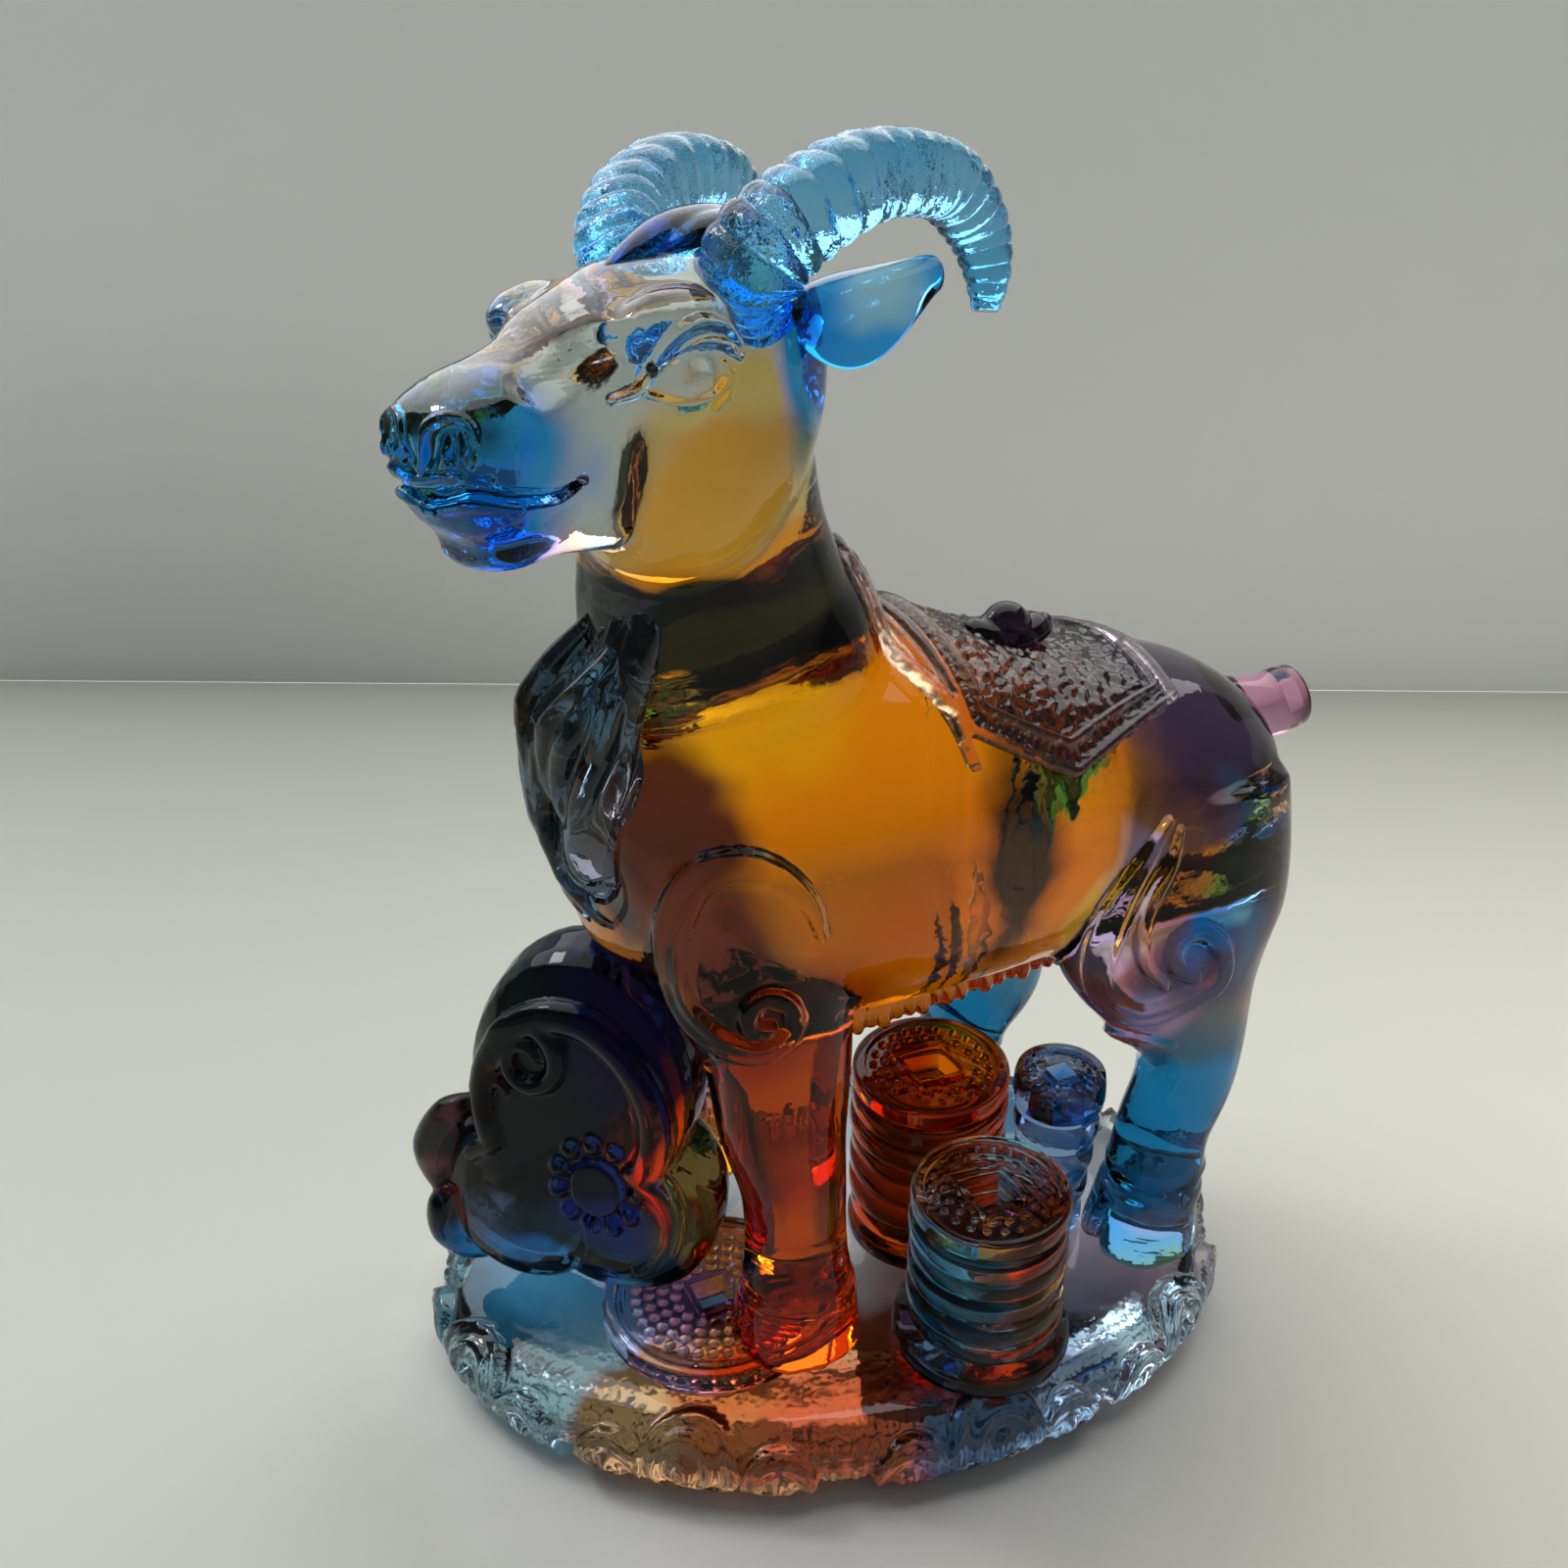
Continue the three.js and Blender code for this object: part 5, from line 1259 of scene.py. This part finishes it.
FIELD = [(2, 128), (1.5, 103), (15, 94.6), (34, 98), (36.5, 128)]
field = shell("saddle_field", FIELD, -1.2, 1.3)
cast(field, 0.5, 2)
for vertex in field.data.vertices:
    grain = noise.noise(vertex.co * 900) + 0.7 * noise.noise(vertex.co * 1700)
    vertex.co += vertex.normal * 0.42 * MM * grain
fitted(field, glass("saddle_field_glass", (0.15, 0.08, 0.16), [
    ((0.02, 0.008, 0.025), (31, 0, 106), (7, 30, 6), 0.5),
    ((0.30, 0.20, 0.14), (6, -14, 105), (6, 10, 6), 0.6),
], roughness=0.12, shine=1.0), "purple_glass", "saddle_blanket")

# The border follows the blanket's edge: down from the spine, to a point, and up.
OUTER = [(0.6, 0), (0.6, 46), (15, 64), (35, 45), (36.5, 0)]
INNER = [(3.6, 0), (3.6, 41), (15, 55), (32.4, 40), (33.6, 0)]


def between(line, share, side):
    """A place part of the way along a line of x and swing, on one flank."""
    line = np.array(line, float)
    at = np.linspace(0, 1, len(line))
    return float(np.interp(share, at, line[:, 0])), side * float(np.interp(share, at, line[:, 1]))


def on_border(share, depth, side, lift):
    """A place in the border: along its edge, in from it, on one flank, off the skin."""
    x0, swing0 = between(OUTER, share, side)
    x1, swing1 = between(INNER, share, side)
    return on_back(x0 + (x1 - x0) * depth, swing0 + (swing1 - swing0) * depth, lift)


parts = []
for side in (1, -1):
    shares = np.linspace(0, 1, 90)
    for depth, thick, lift in ((0, 0.75, 1.2), (0.2, 0.5, 1.0), (0.82, 0.5, 1.3), (1, 0.7, 1.6)):
        path = [on_border(s, depth, side, lift) for s in shares]
        parts.append(rope("piping", path, [thick * MM], 8))
    for strip in np.linspace(0.12, 0.9, 5):
        path = [on_border(s, strip, side, 0.35) for s in shares]
        parts.append(rope("web", path, [0.75 * MM], 6))
    for k in range(50):
        share = 0.02 + 0.96 * k / 49
        path = [on_border(share, d, side, 1.2) for d in (0.22, 0.4, 0.6, 0.8)]
        parts.append(rope("rib", path, [0.36 * MM], 6))
    # the leaf-cut trim in front of it
    for front, low, thick in ((-8.5, 30, 0.7), (-5.6, 38, 0.6), (-2.0, 47, 0.7)):
        path = [
            on_back(front + (0.4 - front) * t**1.6, side * (2 + (low + 8 * t) * t), 1.2)
            for t in np.linspace(0, 1, 30)
        ]
        parts.append(rope("trim_cord", path, [thick * MM], 8))
    for k in range(11):
        t = 0.08 + 0.86 * k / 10
        front = -7.0 + 6.4 * t**1.6
        path = [
            on_back(
                front - 1.6 + 3.8 * u,
                side * (2 + 40 * t - 3 + 7 * u),
                0.9 + 0.5 * math.sin(math.pi * u),
            )
            for u in np.linspace(0, 1, 6)
        ]
        parts.append(rope("trim_leaf", path, np.array([0.2, 0.8, 0.95, 0.7, 0.2]) * MM, 8))
    for strip in np.linspace(0.1, 0.9, 5):
        front = -8.5 + 6.5 * strip
        path = [
            on_back(front + (0.4 - front) * t**1.6, side * (2 + (30 + 17 * strip + 8 * t) * t), 0.3)
            for t in np.linspace(0, 1, 24)
        ]
        parts.append(rope("trim_web", path, [0.8 * MM], 6))
border = merged("saddle_edging", parts)
cast(border, 0.27, 1)
seated(border)
fitted(border, glass("saddle_edging_glass", (0.80, 0.66, 0.72), [
    ((0.98, 0.66, 0.30), (8, 0, 100), (15, 40, 20), 0.4),
], roughness=0.2, shine=1.0), "purple_glass", "saddle_border", "saddle_front_trim")

parts = [
    limb("ingot_boat", [
        [10.4, 0, 107.0, 0.6, 0.6],
        [12, 0, 105.8, 2.6, 1.8],
        [17, 0, 104.4, 4.2, 2.4],
        [22, 0, 105.0, 2.6, 1.8],
        [23.6, 0, 106.0, 0.6, 0.6],
    ], SIDEWAYS, rings=30, sides=24, power=(2, 2)),
    lump("ingot_dome", (17, 0, 106.0), (3.2, 2.9, 2.9)),
]
ingot = merged("boat_ingot", parts)
cast(ingot, 0.3, 4)
fitted(ingot, glass("ingot_glass", (0.06, 0.03, 0.08)), "purple_glass", "saddle_ingot")


# The table, the panel behind it and the light.
# A pale table top with painted light on it, a low grey panel across its back, seen
# from its front only, whose faint glow carries a painted shade, and a wide soft lamp
# that stands behind the panel and shines over it.
AHEAD_OF_CAMERA = Vector((math.sin(CAMERA_TURN), math.cos(CAMERA_TURN), 0))
RIGHT_OF_CAMERA = Vector((AHEAD_OF_CAMERA.y, -AHEAD_OF_CAMERA.x, 0))
PANEL_AT = camera.location * Vector((1, 1, 0)) + AHEAD_OF_CAMERA * 0.398
PANEL_HEIGHT = 0.18


def matt(name, ground, patches=()):
    """A plain unpolished paint, with soft patches laid over it; on the table these are painted light."""
    material = bpy.data.materials.new(name)
    material.use_nodes = True
    tree = material.node_tree
    fed(tree, tree.nodes["Principled BSDF"], {
        "Base Color": painted(tree, ground, patches),
        "Roughness": 0.6,
        "Specular IOR Level": 0.2,
    })
    return material


bpy.ops.object.select_all(action="DESELECT")
bpy.ops.mesh.primitive_plane_add(size=3, location=(0, 0, -0.0001))
table = bpy.context.object
table.name = "table"
table.data.materials.append(matt("table_paint_and_painted_light", (0.66, 0.69, 0.62), [
    # Painted light: the right of the table is painted paler, as a pool of light, and the table under and
    # in front of the base near white, to lift the shadow of the glass there.
    ((0.94, 0.94, 0.83), (190, -10, 0), (170, 280, 100), 0.9),
    ((0.95, 0.96, 0.94), (-8, -4, 0), (58, 46, 100), 0.3),
]))

bpy.ops.object.select_all(action="DESELECT")
bpy.ops.mesh.primitive_plane_add(
    size=1,
    location=PANEL_AT + Vector((0, 0, PANEL_HEIGHT / 2)),
    rotation=(math.radians(90), 0, math.radians(-26)),
)
panel = bpy.context.object
panel.name = "back_panel"
panel.scale = (3, PANEL_HEIGHT, 1)
bpy.ops.object.transform_apply(location=True, rotation=True, scale=True)
panel_paint_and_painted_shade = matt("panel_paint_and_painted_shade", (0.95, 0.96, 0.95))
tree = panel_paint_and_painted_shade.node_tree
# The panel also glows faintly, seen only by camera, glossy and transmission rays.
ray = placed(tree, "LightPath").outputs
shown = placed(tree, "Math", {
    0: ray["Is Camera Ray"], 1: ray["Is Transmission Ray"],
}, operation="MAXIMUM")
either = placed(tree, "Math", {0: shown.outputs[0], 1: ray["Is Glossy Ray"]}, operation="MAXIMUM")
grey = placed(tree, "Math", {0: either.outputs[0], 1: 0.10}, operation="MULTIPLY")
paint = fed(tree, tree.nodes["Principled BSDF"], {
    "Emission Strength": grey.outputs[0],
    # The glow is painted near black in a soft oval low on the panel's left: painted shade.
    "Emission Color": painted(tree, (0.97, 1, 0.95), [
        ((0.02, 0.02, 0.02), (PANEL_AT - RIGHT_OF_CAMERA * 0.16) * 1000, (120, 120, 70), 0.9),
    ]),
})
front_only = placed(tree, "MixShader", {
    0: placed(tree, "NewGeometry").outputs["Backfacing"],
    1: paint.outputs["BSDF"],
    2: placed(tree, "BsdfTransparent").outputs["BSDF"],
})
fed(tree, tree.nodes["Material Output"], {"Surface": front_only.outputs["Shader"]})
panel.data.materials.append(panel_paint_and_painted_shade)


def soft_lamp(name, place, target, wide, deep, watts):
    """A rectangular lamp aimed at a place."""
    bpy.ops.object.select_all(action="DESELECT")
    bpy.ops.object.light_add(type="AREA", location=place)
    lamp = bpy.context.object
    lamp.name = name
    lamp.rotation_euler = (Vector(target) - Vector(place)).to_track_quat("-Z", "Y").to_euler()
    lamp.data.shape = "RECTANGLE"
    lamp.data.size = wide
    lamp.data.size_y = deep
    lamp.data.energy = watts


soft_lamp("window", (0.16, 0.62, 0.86), (0, 0, 0.07), 2.1, 1.7, 23)
soft_lamp("small_window", (-0.35, 0.42, 0.62), (-0.02, 0, 0.12), 0.12, 0.12, 0.7)
world = bpy.data.worlds.new("room")
world.use_nodes = True
world.node_tree.nodes["Background"].inputs["Color"].default_value = (0.12, 0.12, 0.12, 1)
bpy.context.scene.world = world
bpy.context.scene.view_settings.view_transform = "Standard"
